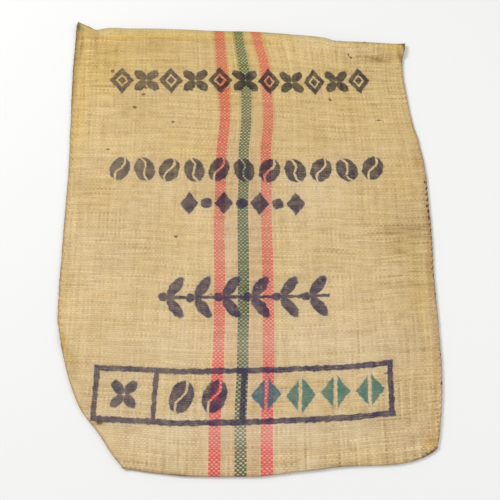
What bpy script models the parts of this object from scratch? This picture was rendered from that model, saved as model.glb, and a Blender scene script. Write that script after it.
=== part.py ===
"""Burlap sack, empty and lying on its back.

One length of coarse sacking is folded across at the bottom, sewn to itself along both sides, and left open at the
mouth, where the edge is turned in as a hem. The back layer lies flat on the surface. The front layer rises softly off
it, so that the mouth gapes a little. +X is to the sack's right, +Y runs from the fold to the mouth and +Z is up. The
origin is at the middle of the underside. All lengths are in metres.
"""

import math
from collections import namedtuple

import bmesh
import bpy

for old in list(bpy.data.objects):
    bpy.data.objects.remove(old, do_unlink=True)

# ---------------------------------------------------------------- driving sizes
CLOTH = 0.0020  # one layer of sacking
HEM_CLOTH = 0.0036  # the turned hem, inside the mouth
HEM_DEPTH = 0.022
SEAM_WIDTH = 0.012  # the layers are sewn together this far in from each side
SEAM_HEIGHT = 0.0048  # both layers at the seam
EDGE_ROUND = 0.003  # the width over which an edge rounds off
FOLD_WALL = 0.004  # cloth at the bottom fold
PAST_MOUTH = 0.060  # how far the hollow's cutter runs out of the mouth
COLUMNS, ROWS = 28, 34  # cells between the seams, and between the fold and the hem

# ---------------------------------------------------------------- outline, one row for each bend of the edge
Side = namedtuple("Side", "y x")
End = namedtuple("End", "x y")

# The left side runs in to the bottom along the corner that is tucked under.
LEFT_SIDE = [
    Side(y=-0.466, x=-0.205),
    Side(y=-0.442, x=-0.226),
    Side(y=-0.408, x=-0.250),
    Side(y=-0.364, x=-0.286),
    Side(y=-0.328, x=-0.304),
    Side(y=-0.277, x=-0.322),
    Side(y=-0.231, x=-0.334),
    Side(y=-0.190, x=-0.342),
    Side(y=-0.076, x=-0.345),
    Side(y=0.093, x=-0.347),
    Side(y=0.276, x=-0.355),
    Side(y=0.373, x=-0.359),
    Side(y=0.466, x=-0.359),
    Side(y=0.478, x=-0.356),
]
RIGHT_SIDE = [
    Side(y=-0.433, x=0.336),
    Side(y=-0.404, x=0.342),
    Side(y=-0.331, x=0.352),
    Side(y=-0.262, x=0.356),
    Side(y=-0.116, x=0.356),
    Side(y=-0.035, x=0.359),
    Side(y=0.093, x=0.359),
    Side(y=0.182, x=0.350),
    Side(y=0.228, x=0.340),
    Side(y=0.276, x=0.334),
    Side(y=0.344, x=0.329),
    Side(y=0.375, x=0.329),
    Side(y=0.402, x=0.336),
    Side(y=0.421, x=0.341),
]
# Front edge of the mouth. Its left corner stands up as an ear.
MOUTH = [
    End(x=-0.356, y=0.478),
    End(x=-0.331, y=0.462),
    End(x=-0.313, y=0.453),
    End(x=-0.288, y=0.457),
    End(x=-0.244, y=0.453),
    End(x=-0.149, y=0.448),
    End(x=-0.069, y=0.443),
    End(x=0.019, y=0.440),
    End(x=0.106, y=0.433),
    End(x=0.165, y=0.428),
    End(x=0.194, y=0.420),
    End(x=0.244, y=0.419),
    End(x=0.341, y=0.421),
]
BOTTOM = [
    End(x=-0.205, y=-0.466),
    End(x=-0.147, y=-0.474),
    End(x=-0.092, y=-0.479),
    End(x=-0.039, y=-0.480),
    End(x=0.017, y=-0.480),
    End(x=0.059, y=-0.476),
    End(x=0.115, y=-0.470),
    End(x=0.174, y=-0.463),
    End(x=0.263, y=-0.459),
    End(x=0.289, y=-0.454),
    End(x=0.309, y=-0.449),
    End(x=0.329, y=-0.440),
    End(x=0.336, y=-0.433),
]

# ---------------------------------------------------------------- rise of the front layer, above the seams
# up is the share of the way from the fold to the mouth, and rise is at the middle of the width.
Loft = namedtuple("Loft", "up rise")
LOFT = [
    Loft(up=0.00, rise=0.0015),
    Loft(up=0.03, rise=0.0060),
    Loft(up=0.10, rise=0.0115),
    Loft(up=0.22, rise=0.0145),
    Loft(up=0.50, rise=0.0155),
    Loft(up=0.80, rise=0.0165),
    Loft(up=1.00, rise=0.0175),
]
# across is the share of the width, and share is of the rise at the middle.
Crown = namedtuple("Crown", "across share")
CROWN = [
    Crown(across=0.00, share=0.00),
    Crown(across=0.05, share=0.30),
    Crown(across=0.14, share=0.72),
    Crown(across=0.28, share=0.95),
    Crown(across=0.46, share=1.00),
    Crown(across=0.66, share=0.97),
    Crown(across=0.84, share=0.74),
    Crown(across=0.95, share=0.30),
    Crown(across=1.00, share=0.00),
]
# Soft ridges (height over 0) and troughs (under 0). heading is in degrees from +X.
Fold = namedtuple("Fold", "x y heading length width height")
FOLDS = [
    Fold(x=-0.285, y=0.415, heading=-38, length=0.200, width=0.026, height=0.0030),
    Fold(x=-0.235, y=0.420, heading=-20, length=0.160, width=0.024, height=-0.0022),
    Fold(x=0.285, y=0.372, heading=0, length=0.110, width=0.018, height=-0.0032),
    Fold(x=0.218, y=0.384, heading=-58, length=0.080, width=0.018, height=-0.0022),
    Fold(x=0.270, y=0.335, heading=12, length=0.180, width=0.024, height=0.0022),
    Fold(x=-0.215, y=-0.350, heading=-52, length=0.260, width=0.030, height=-0.0030),
    Fold(x=-0.130, y=-0.385, heading=-40, length=0.240, width=0.032, height=0.0020),
    Fold(x=0.250, y=-0.375, heading=28, length=0.200, width=0.030, height=-0.0022),
    Fold(x=-0.020, y=-0.120, heading=4, length=0.520, width=0.050, height=0.0012),
    Fold(x=0.080, y=0.060, heading=-6, length=0.460, width=0.050, height=-0.0014),
    Fold(x=-0.160, y=0.240, heading=70, length=0.300, width=0.040, height=0.0012),
    Fold(x=0.150, y=0.260, heading=97, length=0.260, width=0.036, height=-0.0010),
]
# How far the back layer's edge stands out past the front's at the mouth, by share of the width.
Lip = namedtuple("Lip", "across out")
BACK_LIP = [
    Lip(across=0.00, out=-0.001),
    Lip(across=0.12, out=0.003),
    Lip(across=0.40, out=0.008),
    Lip(across=0.62, out=0.009),
    Lip(across=0.90, out=0.002),
    Lip(across=1.00, out=-0.001),
]


# ---------------------------------------------------------------- helpers
def smooth_table(rows):
    """A function through the rows' points that never overshoots them. The first column rises."""
    xs = [float(row[0]) for row in rows]
    ys = [float(row[1]) for row in rows]
    gap = [b - a for a, b in zip(xs, xs[1:])]
    slope = [(b - a) / g for a, b, g in zip(ys, ys[1:], gap)]
    tangent = [slope[0]]
    for before, after in zip(slope, slope[1:]):
        flat = before * after <= 0
        tangent.append(0.0 if flat else 2 * before * after / (before + after))
    tangent.append(slope[-1])

    def at(x):
        x = min(max(x, xs[0]), xs[-1])
        i = max(k for k in range(len(gap)) if xs[k] <= x)
        t = (x - xs[i]) / gap[i]
        return (
            (2 * t**3 - 3 * t**2 + 1) * ys[i]
            + (t**3 - 2 * t**2 + t) * gap[i] * tangent[i]
            + (3 * t**2 - 2 * t**3) * ys[i + 1]
            + (t**3 - t**2) * gap[i] * tangent[i + 1]
        )

    return at


left_x, right_x = smooth_table(LEFT_SIDE), smooth_table(RIGHT_SIDE)
mouth_y, bottom_y = smooth_table(MOUTH), smooth_table(BOTTOM)
loft_at, crown_at, lip_at = smooth_table(LOFT), smooth_table(CROWN), smooth_table(BACK_LIP)


def mix(a, b, t):
    return a + (b - a) * t


def plan(u, v):
    """The point of the outline's patch at share u of the width and share v of the way up."""
    ly = mix(LEFT_SIDE[0].y, LEFT_SIDE[-1].y, v)
    ry = mix(RIGHT_SIDE[0].y, RIGHT_SIDE[-1].y, v)
    bx = mix(BOTTOM[0].x, BOTTOM[-1].x, u)
    mx = mix(MOUTH[0].x, MOUTH[-1].x, u)
    left, right = (left_x(ly), ly), (right_x(ry), ry)
    low, high = (bx, bottom_y(bx)), (mx, mouth_y(mx))
    corners = (
        (BOTTOM[0].x, BOTTOM[0].y),
        (BOTTOM[-1].x, BOTTOM[-1].y),
        (MOUTH[0].x, MOUTH[0].y),
        (MOUTH[-1].x, MOUTH[-1].y),
    )
    point = []
    for k in range(2):
        ruled = mix(left[k], right[k], u) + mix(low[k], high[k], v)
        bilinear = mix(mix(corners[0][k], corners[1][k], u), mix(corners[2][k], corners[3][k], u), v)
        point.append(ruled - bilinear)
    return point


def width_at(v):
    a, b = plan(0.0, v), plan(1.0, v)
    return math.dist(a, b)


LENGTH = math.dist(plan(0.5, 0.0), plan(0.5, 1.0))


def relief(x, y):
    """Height of the soft folds at one place."""
    total = 0.0
    for fold in FOLDS:
        turn = math.radians(fold.heading)
        dx, dy = x - fold.x, y - fold.y
        along = dx * math.cos(turn) + dy * math.sin(turn)
        over = dy * math.cos(turn) - dx * math.sin(turn)
        total += fold.height * math.exp(-((over / fold.width) ** 2) - (2 * along / fold.length) ** 2)
    return total


def rounding(distance):
    """0 at an edge, 1 from EDGE_ROUND in."""
    t = min(max(distance / EDGE_ROUND, 0.0), 1.0)
    return math.sqrt(1 - (1 - t) ** 2)


def front_height(u, v):
    """Outer height of the front layer."""
    x, y = plan(u, v)
    width = width_at(v)
    inner = (u * width - SEAM_WIDTH) / (width - 2 * SEAM_WIDTH)
    crown = crown_at(inner)
    height = SEAM_HEIGHT + crown * (loft_at(v) + relief(x, y) * min(1.0, v * 8))
    from_side = min(u, 1 - u) * width
    from_fold = v * LENGTH
    low = SEAM_HEIGHT / 2
    return low + (height - low) * rounding(from_side) * rounding(from_fold)


def columns_at(v):
    """Shares of the width: both edges, the rounding, the seams, and even cells between."""
    width = width_at(v)
    edge, seam = EDGE_ROUND / width, SEAM_WIDTH / width
    inner = []
    for k in range(COLUMNS + 1):
        t = k / COLUMNS
        t = 0.55 * t + 0.45 * (0.5 - 0.5 * math.cos(math.pi * t))
        inner.append(mix(seam, 1 - seam, t))
    return [0.0, edge * 0.3, edge, *inner, 1 - edge, 1 - edge * 0.3, 1.0]


def rows_up():
    """Shares of the way up: the fold, its rounding, even cells, and the hem."""
    round_off, wall, hem = EDGE_ROUND / LENGTH, FOLD_WALL / LENGTH, HEM_DEPTH / LENGTH
    inner = []
    for k in range(ROWS + 1):
        t = k / ROWS
        t = 0.6 * t + 0.4 * (0.5 - 0.5 * math.cos(math.pi * t))
        inner.append(mix(wall, 1 - hem, t))
    return [0.0, round_off * 0.3, round_off, *inner, 1 - hem + 0.002 / LENGTH, 1 - hem / 2, 1.0]


ROW_SHARES = rows_up()
FIRST_COLUMN, LAST_COLUMN = 3, 3 + COLUMNS  # the seams
FIRST_ROW = 3  # the fold's inner face


def link_to(collection, obj):
    for other in list(obj.users_collection):
        other.objects.unlink(obj)
    collection.objects.link(obj)


def grid_object(columns, rows, place):
    """A grid of columns by rows points, each put where place(column, row) says, as an open bmesh. Each point keeps its column and row."""
    bm = bmesh.new()
    bmesh.ops.create_grid(bm, x_segments=columns - 1, y_segments=rows - 1, size=1.0)
    column_of, row_of = bm.verts.layers.int.new("column"), bm.verts.layers.int.new("row")
    for vert in bm.verts:
        vert[column_of] = round((vert.co.x + 1) / 2 * (columns - 1))
        vert[row_of] = round((vert.co.y + 1) / 2 * (rows - 1))
        vert.co = place(vert[column_of], vert[row_of])
    return bm


def close_flat(bm, drop):
    """Pulls the open edge down to where drop(column, row) says, and closes it with one flat face."""
    column_of, row_of = bm.verts.layers.int["column"], bm.verts.layers.int["row"]
    rim = [e for e in bm.edges if e.is_boundary]
    ring = bmesh.ops.extrude_edge_only(bm, edges=rim)["geom"]
    for vert in (g for g in ring if isinstance(g, bmesh.types.BMVert)):
        vert.co = drop(vert[column_of], vert[row_of])
    edges = [g for g in ring if isinstance(g, bmesh.types.BMEdge) and g.is_boundary]
    bmesh.ops.contextual_create(bm, geom=edges)
    bmesh.ops.recalc_face_normals(bm, faces=bm.faces)


def close_with_copy(bm, place):
    """Closes the open grid with a copy of itself, each point put where place(column, row) says."""
    column_of, row_of = bm.verts.layers.int["column"], bm.verts.layers.int["row"]
    copied = bmesh.ops.extrude_face_region(bm, geom=list(bm.faces))["geom"]
    for vert in (g for g in copied if isinstance(g, bmesh.types.BMVert)):
        vert.co = place(vert[column_of], vert[row_of])
    bmesh.ops.recalc_face_normals(bm, faces=bm.faces)


def finish_mesh(bm, name, collection):
    mesh = bpy.data.meshes.new(name)
    bm.to_mesh(mesh)
    bm.free()
    obj = bpy.data.objects.new(name, mesh)
    collection.objects.link(obj)
    return obj


sack = bpy.data.collections.new("Burlap_sack")
cutters = bpy.data.collections.new("Cutters")
bpy.context.scene.collection.children.link(sack)
bpy.context.scene.collection.children.link(cutters)

# ---------------------------------------------------------------- outer form
column_count, row_count = COLUMNS + 7, len(ROW_SHARES)
COLUMN_SHARES = [columns_at(v) for v in ROW_SHARES]


def outer_point(column, row):
    u, v = COLUMN_SHARES[row][column], ROW_SHARES[row]
    x, y = plan(u, v)
    return (x, y, front_height(u, v))


def rim_point(column, row):
    """Underside of the rim: a little inside the outline, and at the mouth along the back layer's own edge."""
    x, y, _ = outer_point(column, row)
    tuck = EDGE_ROUND * 0.4
    if column == 0:
        x += tuck
    elif column == column_count - 1:
        x -= tuck
    if row == 0:
        y += tuck
    elif row == row_count - 1:
        y += lip_at(COLUMN_SHARES[row][column])
    return (x, y, 0.0)


outer = grid_object(column_count, row_count, outer_point)
close_flat(outer, rim_point)
body = finish_mesh(outer, "sack_body", sack)

# ---------------------------------------------------------------- the hollow between the layers
HEM_ROW = 3 + ROWS  # the hem begins here, and is fully thick one row on
hollow_columns = LAST_COLUMN - FIRST_COLUMN + 1
hollow_rows = row_count - FIRST_ROW + 1  # one more, past the mouth


def hollow_row(row):
    """The outer form's row, how thick the cloth is there, and how far past the mouth."""
    own = row + FIRST_ROW
    if own == row_count:
        return row_count - 1, HEM_CLOTH, PAST_MOUTH
    return own, (CLOTH if own <= HEM_ROW else HEM_CLOTH), 0.0


def hollow_plan(row, column):
    own, wall, past = hollow_row(row)
    u, v = COLUMN_SHARES[own][column + FIRST_COLUMN], ROW_SHARES[own]
    x, y = plan(u, v)
    return x, y + past, front_height(u, v), wall


def ceiling_point(column, row):
    """Inner face of the front layer."""
    x, y, height, wall = hollow_plan(row, column)
    return (x, y, max(height - wall, wall + 0.0006))


def floor_point(column, row):
    """Inner face of the back layer."""
    x, y, _, wall = hollow_plan(row, column)
    return (x, y, wall)


space = grid_object(hollow_columns, hollow_rows, ceiling_point)
close_with_copy(space, floor_point)
hollow = finish_mesh(space, "hollow_cutter", cutters)
hollow.display_type = "WIRE"
hollow.hide_render = True

cut = body.modifiers.new("hollow", "BOOLEAN")
cut.operation = "DIFFERENCE"
cut.solver = "EXACT"
cut.object = hollow

# ---------------------------------------------------------------- cloth
jute = bpy.data.materials.new("jute_sacking")
jute.use_nodes = True
shader = jute.node_tree.nodes["Principled BSDF"]
shader.inputs["Base Color"].default_value = (0.56, 0.40, 0.21, 1.0)
shader.inputs["Roughness"].default_value = 0.92
shader.inputs["Metallic"].default_value = 0.0
body.data.materials.append(jute)
body.data.shade_smooth()
body.data.set_sharp_from_angle(angle=math.radians(40))
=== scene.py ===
"""Burlap sack lying on its back: the looks.

One strip of sacking runs from the hem inside the back of the mouth, down the back, round the bottom fold and up the
front to the hem inside the front of the mouth. Its two selvedges are overcast together along both sides, and the lower
left corner is tucked under. All lengths are in metres, in the frame of the CAD solid.
"""

import math
from collections import namedtuple

import bpy
import numpy as np
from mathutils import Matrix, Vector, noise
from mathutils.bvhtree import BVHTree


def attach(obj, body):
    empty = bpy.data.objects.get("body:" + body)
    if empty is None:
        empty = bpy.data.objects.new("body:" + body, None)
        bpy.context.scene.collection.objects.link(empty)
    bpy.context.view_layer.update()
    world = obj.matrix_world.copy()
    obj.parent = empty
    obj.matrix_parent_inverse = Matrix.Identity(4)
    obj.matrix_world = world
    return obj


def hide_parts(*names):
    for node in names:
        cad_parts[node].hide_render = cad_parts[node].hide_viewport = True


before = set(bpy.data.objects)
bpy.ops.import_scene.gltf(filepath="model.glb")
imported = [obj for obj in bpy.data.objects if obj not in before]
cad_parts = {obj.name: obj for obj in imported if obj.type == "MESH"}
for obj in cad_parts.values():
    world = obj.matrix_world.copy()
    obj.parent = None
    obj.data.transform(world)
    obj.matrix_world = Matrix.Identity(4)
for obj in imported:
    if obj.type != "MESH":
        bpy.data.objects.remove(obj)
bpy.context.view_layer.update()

# ================================================================ sizes shared with the CAD solid
SEAM_WIDTH = 0.012
SEAM_HEIGHT = 0.0048
HEM_DEPTH = 0.022

Side = namedtuple("Side", "y x")
End = namedtuple("End", "x y")
LEFT_SIDE = [
    Side(y=-0.466, x=-0.205),
    Side(y=-0.442, x=-0.226),
    Side(y=-0.408, x=-0.250),
    Side(y=-0.364, x=-0.286),
    Side(y=-0.328, x=-0.304),
    Side(y=-0.277, x=-0.322),
    Side(y=-0.231, x=-0.334),
    Side(y=-0.190, x=-0.342),
    Side(y=-0.076, x=-0.345),
    Side(y=0.093, x=-0.347),
    Side(y=0.276, x=-0.355),
    Side(y=0.373, x=-0.359),
    Side(y=0.466, x=-0.359),
    Side(y=0.478, x=-0.356),
]
RIGHT_SIDE = [
    Side(y=-0.431, x=0.3345),
    Side(y=-0.404, x=0.3412),
    Side(y=-0.331, x=0.352),
    Side(y=-0.262, x=0.356),
    Side(y=-0.116, x=0.356),
    Side(y=-0.035, x=0.359),
    Side(y=0.093, x=0.359),
    Side(y=0.182, x=0.350),
    Side(y=0.228, x=0.340),
    Side(y=0.276, x=0.335),
    Side(y=0.344, x=0.330),
    Side(y=0.375, x=0.331),
    Side(y=0.402, x=0.3375),
    Side(y=0.421, x=0.341),
]
MOUTH = [
    End(x=-0.356, y=0.478),
    End(x=-0.331, y=0.4655),
    End(x=-0.313, y=0.4565),
    End(x=-0.288, y=0.4575),
    End(x=-0.244, y=0.453),
    End(x=-0.149, y=0.448),
    End(x=-0.069, y=0.443),
    End(x=0.019, y=0.440),
    End(x=0.106, y=0.433),
    End(x=0.165, y=0.428),
    End(x=0.194, y=0.420),
    End(x=0.244, y=0.419),
    End(x=0.341, y=0.421),
]
BOTTOM = [
    End(x=-0.205, y=-0.466),
    End(x=-0.147, y=-0.474),
    End(x=-0.092, y=-0.479),
    End(x=-0.039, y=-0.480),
    End(x=0.017, y=-0.480),
    End(x=0.059, y=-0.476),
    End(x=0.115, y=-0.470),
    End(x=0.174, y=-0.463),
    End(x=0.263, y=-0.459),
    End(x=0.289, y=-0.454),
    End(x=0.309, y=-0.4472),
    End(x=0.3275, y=-0.4375),
    End(x=0.3345, y=-0.431),
]
Loft = namedtuple("Loft", "up rise")
LOFT = [
    Loft(up=0.00, rise=0.0015),
    Loft(up=0.03, rise=0.0060),
    Loft(up=0.10, rise=0.0115),
    Loft(up=0.22, rise=0.0145),
    Loft(up=0.50, rise=0.0155),
    Loft(up=0.80, rise=0.0165),
    Loft(up=1.00, rise=0.0175),
]
Crown = namedtuple("Crown", "across share")
CROWN = [
    Crown(across=0.00, share=0.00),
    Crown(across=0.05, share=0.30),
    Crown(across=0.14, share=0.72),
    Crown(across=0.28, share=0.95),
    Crown(across=0.46, share=1.00),
    Crown(across=0.66, share=0.97),
    Crown(across=0.84, share=0.74),
    Crown(across=0.95, share=0.30),
    Crown(across=1.00, share=0.00),
]
Fold = namedtuple("Fold", "x y heading length width height")
FOLDS = [
    Fold(x=-0.285, y=0.415, heading=-38, length=0.200, width=0.026, height=0.0030),
    Fold(x=-0.235, y=0.420, heading=-20, length=0.160, width=0.024, height=-0.0022),
    Fold(x=0.285, y=0.372, heading=0, length=0.110, width=0.018, height=-0.0032),
    Fold(x=0.218, y=0.384, heading=-58, length=0.080, width=0.018, height=-0.0022),
    Fold(x=0.270, y=0.335, heading=12, length=0.180, width=0.024, height=0.0022),
    Fold(x=-0.215, y=-0.350, heading=-52, length=0.260, width=0.030, height=-0.0030),
    Fold(x=-0.130, y=-0.385, heading=-40, length=0.240, width=0.032, height=0.0020),
    Fold(x=0.250, y=-0.375, heading=28, length=0.200, width=0.030, height=-0.0022),
    Fold(x=-0.020, y=-0.120, heading=4, length=0.520, width=0.050, height=0.0012),
    Fold(x=0.080, y=0.060, heading=-6, length=0.460, width=0.050, height=-0.0014),
    Fold(x=-0.160, y=0.240, heading=70, length=0.300, width=0.040, height=0.0012),
    Fold(x=0.150, y=0.260, heading=97, length=0.260, width=0.036, height=-0.0010),
]
Lip = namedtuple("Lip", "across out")
BACK_LIP = [
    Lip(across=0.00, out=-0.001),
    Lip(across=0.12, out=0.003),
    Lip(across=0.40, out=0.008),
    Lip(across=0.62, out=0.009),
    Lip(across=0.90, out=0.002),
    Lip(across=1.00, out=-0.001),
]

# ================================================================ the fine shape, on top of the solid's folds
SHEET = 0.0016  # the cloth as it shows, inside the solid's 2 mm
GAP = 0.00015  # between layers that lie on each other
LAYER = SHEET + GAP
TURN = 0.00095  # radius of a turned hem, at the middle of the cloth
FOLD_REACH = 0.0022  # how far the bottom fold swells out

# Small creases and puckers: soft ridges (height over 0) and troughs (under 0).
CREASES = [
    # round the ear and down the left side
    Fold(x=-0.338, y=0.440, heading=-62, length=0.090, width=0.0085, height=0.0030),
    Fold(x=-0.326, y=0.436, heading=-55, length=0.110, width=0.0070, height=-0.0026),
    Fold(x=-0.305, y=0.428, heading=-40, length=0.120, width=0.0090, height=0.0020),
    Fold(x=-0.322, y=0.457, heading=-26, length=0.050, width=0.0050, height=-0.0022),
    Fold(x=-0.281, y=0.432, heading=-26, length=0.110, width=0.0085, height=-0.0016),
    Fold(x=-0.333, y=0.330, heading=-88, length=0.210, width=0.0080, height=-0.0013),
    Fold(x=-0.316, y=0.280, heading=-86, length=0.240, width=0.0120, height=0.0010),
    Fold(x=-0.322, y=0.180, heading=-80, length=0.130, width=0.0090, height=-0.0010),
    Fold(x=-0.300, y=0.075, heading=-8, length=0.090, width=0.0120, height=-0.0013),
    Fold(x=-0.290, y=0.040, heading=-14, length=0.110, width=0.0140, height=0.0012),
    Fold(x=-0.285, y=-0.040, heading=10, length=0.120, width=0.0150, height=-0.0013),
    Fold(x=-0.270, y=-0.150, heading=18, length=0.120, width=0.0150, height=0.0012),
    # the tucked corner
    Fold(x=-0.272, y=-0.318, heading=-58, length=0.150, width=0.0100, height=-0.0026),
    Fold(x=-0.290, y=-0.292, heading=-61, length=0.120, width=0.0090, height=0.0016),
    Fold(x=-0.236, y=-0.372, heading=-50, length=0.120, width=0.0095, height=0.0020),
    Fold(x=-0.250, y=-0.389, heading=12, length=0.036, width=0.0060, height=-0.0024),
    Fold(x=-0.178, y=-0.432, heading=-20, length=0.130, width=0.0110, height=-0.0018),
    Fold(x=-0.150, y=-0.405, heading=-30, length=0.140, width=0.0140, height=0.0012),
    # the upper right, where the side is drawn in
    Fold(x=0.294, y=0.3725, heading=3, length=0.075, width=0.0065, height=-0.0034),
    Fold(x=0.286, y=0.3860, heading=8, length=0.090, width=0.0090, height=0.0024),
    Fold(x=0.222, y=0.3820, heading=-48, length=0.050, width=0.0065, height=-0.0028),
    Fold(x=0.236, y=0.3880, heading=-44, length=0.060, width=0.0090, height=0.0018),
    Fold(x=0.322, y=0.3820, heading=35, length=0.034, width=0.0055, height=-0.0022),
    Fold(x=0.300, y=0.3540, heading=-6, length=0.090, width=0.0100, height=0.0014),
    Fold(x=0.290, y=0.3220, heading=-12, length=0.120, width=0.0110, height=-0.0014),
    Fold(x=0.300, y=0.2600, heading=-24, length=0.120, width=0.0120, height=0.0012),
    Fold(x=0.322, y=0.1650, heading=80, length=0.120, width=0.0100, height=-0.0013),
    # the right side and corner
    Fold(x=0.324, y=0.0200, heading=4, length=0.080, width=0.0120, height=-0.0015),
    Fold(x=0.310, y=-0.0180, heading=-8, length=0.110, width=0.0130, height=0.0013),
    Fold(x=0.338, y=-0.2200, heading=89, length=0.240, width=0.0075, height=0.0014),
    Fold(x=0.324, y=-0.2400, heading=88, length=0.240, width=0.0080, height=-0.0012),
    Fold(x=0.305, y=-0.4170, heading=38, length=0.110, width=0.0090, height=-0.0022),
    Fold(x=0.286, y=-0.4020, heading=30, length=0.120, width=0.0110, height=0.0016),
    Fold(x=0.230, y=-0.4380, heading=8, length=0.140, width=0.0090, height=-0.0014),
    # long soft ones over the middle
    Fold(x=0.120, y=0.3700, heading=-4, length=0.200, width=0.0160, height=0.0010),
    Fold(x=-0.120, y=0.3560, heading=6, length=0.220, width=0.0160, height=-0.0010),
    Fold(x=-0.180, y=0.1100, heading=-3, length=0.240, width=0.0180, height=0.0011),
    Fold(x=0.180, y=0.0400, heading=2, length=0.260, width=0.0150, height=-0.0012),
    Fold(x=0.200, y=-0.0700, heading=-4, length=0.240, width=0.0170, height=0.0011),
    Fold(x=-0.140, y=-0.0800, heading=5, length=0.260, width=0.0180, height=-0.0011),
    Fold(x=-0.080, y=-0.4450, heading=-2, length=0.160, width=0.0100, height=0.0011),
    Fold(x=0.080, y=-0.4400, heading=4, length=0.180, width=0.0110, height=-0.0012),
]

# The tucked corner: where its fold begins and ends, and where the bag's own corner lies underneath.
TUCK_TIP = (-0.3335, -0.235)
TUCK_END = (-0.205, -0.466)
TUCK_CORNER = (-0.1355, -0.3466)
TUCK_FADE = 0.040  # the fold grows out of the selvedge over this length

# ---------------------------------------------------------------- woven cloth
WARP = 0.0041  # one pair of warp ends
WEFT = 0.0038  # one pick
WIDE = 0.357  # half the loom width
LONG = 0.930  # from the fold to the mouth
STRIPE = 11 * WARP  # the outer stripes stand this far from the middle one


def smooth_table(rows):
    """A function through the rows' points that never overshoots them. The first column rises."""
    xs = np.array([row[0] for row in rows], float)
    ys = np.array([row[1] for row in rows], float)
    gap = np.diff(xs)
    slope = np.diff(ys) / gap
    tangent = np.zeros(len(xs))
    tangent[0], tangent[-1] = slope[0], slope[-1]
    for k in range(1, len(xs) - 1):
        before, after = slope[k - 1], slope[k]
        if before * after > 0:
            tangent[k] = 2 * before * after / (before + after)

    def at(x):
        x = np.clip(x, xs[0], xs[-1])
        i = np.clip(np.searchsorted(xs, x, side="right") - 1, 0, len(gap) - 1)
        t = (x - xs[i]) / gap[i]
        return (
            (2 * t**3 - 3 * t**2 + 1) * ys[i]
            + (t**3 - 2 * t**2 + t) * gap[i] * tangent[i]
            + (3 * t**2 - 2 * t**3) * ys[i + 1]
            + (t**3 - t**2) * gap[i] * tangent[i + 1]
        )

    return at


left_x, right_x = smooth_table(LEFT_SIDE), smooth_table(RIGHT_SIDE)
mouth_y, bottom_y = smooth_table(MOUTH), smooth_table(BOTTOM)
loft_at, crown_at, lip_at = smooth_table(LOFT), smooth_table(CROWN), smooth_table(BACK_LIP)


def mix(a, b, t):
    return a + (b - a) * t


def smoothstep(low, high, x):
    t = np.clip((x - low) / (high - low), 0.0, 1.0)
    return t * t * (3 - 2 * t)


def soft_max(a, b, width):
    """The larger of two heights, rounded where they meet."""
    h = np.clip(0.5 + 0.5 * (a - b) / width, 0.0, 1.0)
    return mix(b, a, h) + width * h * (1 - h)


def plan(u, v):
    """The point of the outline's patch at share u of the width and share v of the way up."""
    ly = mix(LEFT_SIDE[0].y, LEFT_SIDE[-1].y, v)
    ry = mix(RIGHT_SIDE[0].y, RIGHT_SIDE[-1].y, v)
    bx = mix(BOTTOM[0].x, BOTTOM[-1].x, u)
    mx = mix(MOUTH[0].x, MOUTH[-1].x, u)
    left, right = (left_x(ly), ly), (right_x(ry), ry)
    low, high = (bx, bottom_y(bx)), (mx, mouth_y(mx))
    corners = (
        (BOTTOM[0].x, BOTTOM[0].y),
        (BOTTOM[-1].x, BOTTOM[-1].y),
        (MOUTH[0].x, MOUTH[0].y),
        (MOUTH[-1].x, MOUTH[-1].y),
    )
    point = []
    for k in range(2):
        ruled = mix(left[k], right[k], u) + mix(low[k], high[k], v)
        bilinear = mix(mix(corners[0][k], corners[1][k], u), mix(corners[2][k], corners[3][k], u), v)
        point.append(ruled - bilinear)
    return point


def width_at(v):
    a, b = plan(0.0, v), plan(1.0, v)
    return np.hypot(b[0] - a[0], b[1] - a[1])


_low, _high = plan(0.5, 0.0), plan(0.5, 1.0)
LENGTH = float(np.hypot(_high[0] - _low[0], _high[1] - _low[1]))


def relief(x, y, folds):
    """Height of soft folds at each place."""
    total = np.zeros_like(x)
    for fold in folds:
        turn = math.radians(fold.heading)
        dx, dy = x - fold.x, y - fold.y
        along = dx * math.cos(turn) + dy * math.sin(turn)
        over = dy * math.cos(turn) - dx * math.sin(turn)
        total += fold.height * np.exp(-((over / fold.width) ** 2) - (2 * along / fold.length) ** 2)
    return total


def bumps(x, y, scale, seed):
    """Smooth unevenness between about -1 and 1, the same each run."""
    flat = [noise.noise(Vector((a * scale + seed, b * scale - seed, seed * 0.37))) for a, b in zip(x.ravel(), y.ravel())]
    return np.array(flat).reshape(x.shape)


# ================================================================ the camera, at the photo's angle
TILT = math.radians(24.0)
DISTANCE = 1.66
AIM = Vector((0.0115, -0.0559, 0.0))
EYE = AIM + Vector((0.0, -DISTANCE * math.sin(TILT), DISTANCE * math.cos(TILT)))

# ================================================================ cloth coordinates
# Where the stripes' middle lines run, as seen from the eye on the plane of the floor.
Stripe = namedtuple("Stripe", "y left middle right")
STRIPES = [
    Stripe(y=-0.4451, left=-0.0503, middle=-0.0045, right=0.0417),
    Stripe(y=-0.3946, left=-0.0513, middle=-0.0051, right=0.0406),
    Stripe(y=-0.2344, left=-0.0444, middle=-0.0002, right=0.0462),
    Stripe(y=-0.0189, left=-0.0476, middle=-0.0023, right=0.0433),
    Stripe(y=0.1535, left=-0.0453, middle=-0.0013, right=0.0430),
    Stripe(y=0.2452, left=-0.0390, middle=0.0043, right=0.0504),
    Stripe(y=0.2926, left=-0.0428, middle=0.0046, right=0.0478),
    Stripe(y=0.3657, left=-0.0476, middle=-0.0010, right=0.0424),
    Stripe(y=0.4157, left=-0.0514, middle=-0.0081, right=0.0303),
    Stripe(y=0.4600, left=-0.0548, middle=-0.0148, right=0.0216),
]
stripe_left = smooth_table([(s.y, s.left) for s in STRIPES])
stripe_middle = smooth_table([(s.y, s.middle) for s in STRIPES])
stripe_right = smooth_table([(s.y, s.right) for s in STRIPES])
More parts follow.
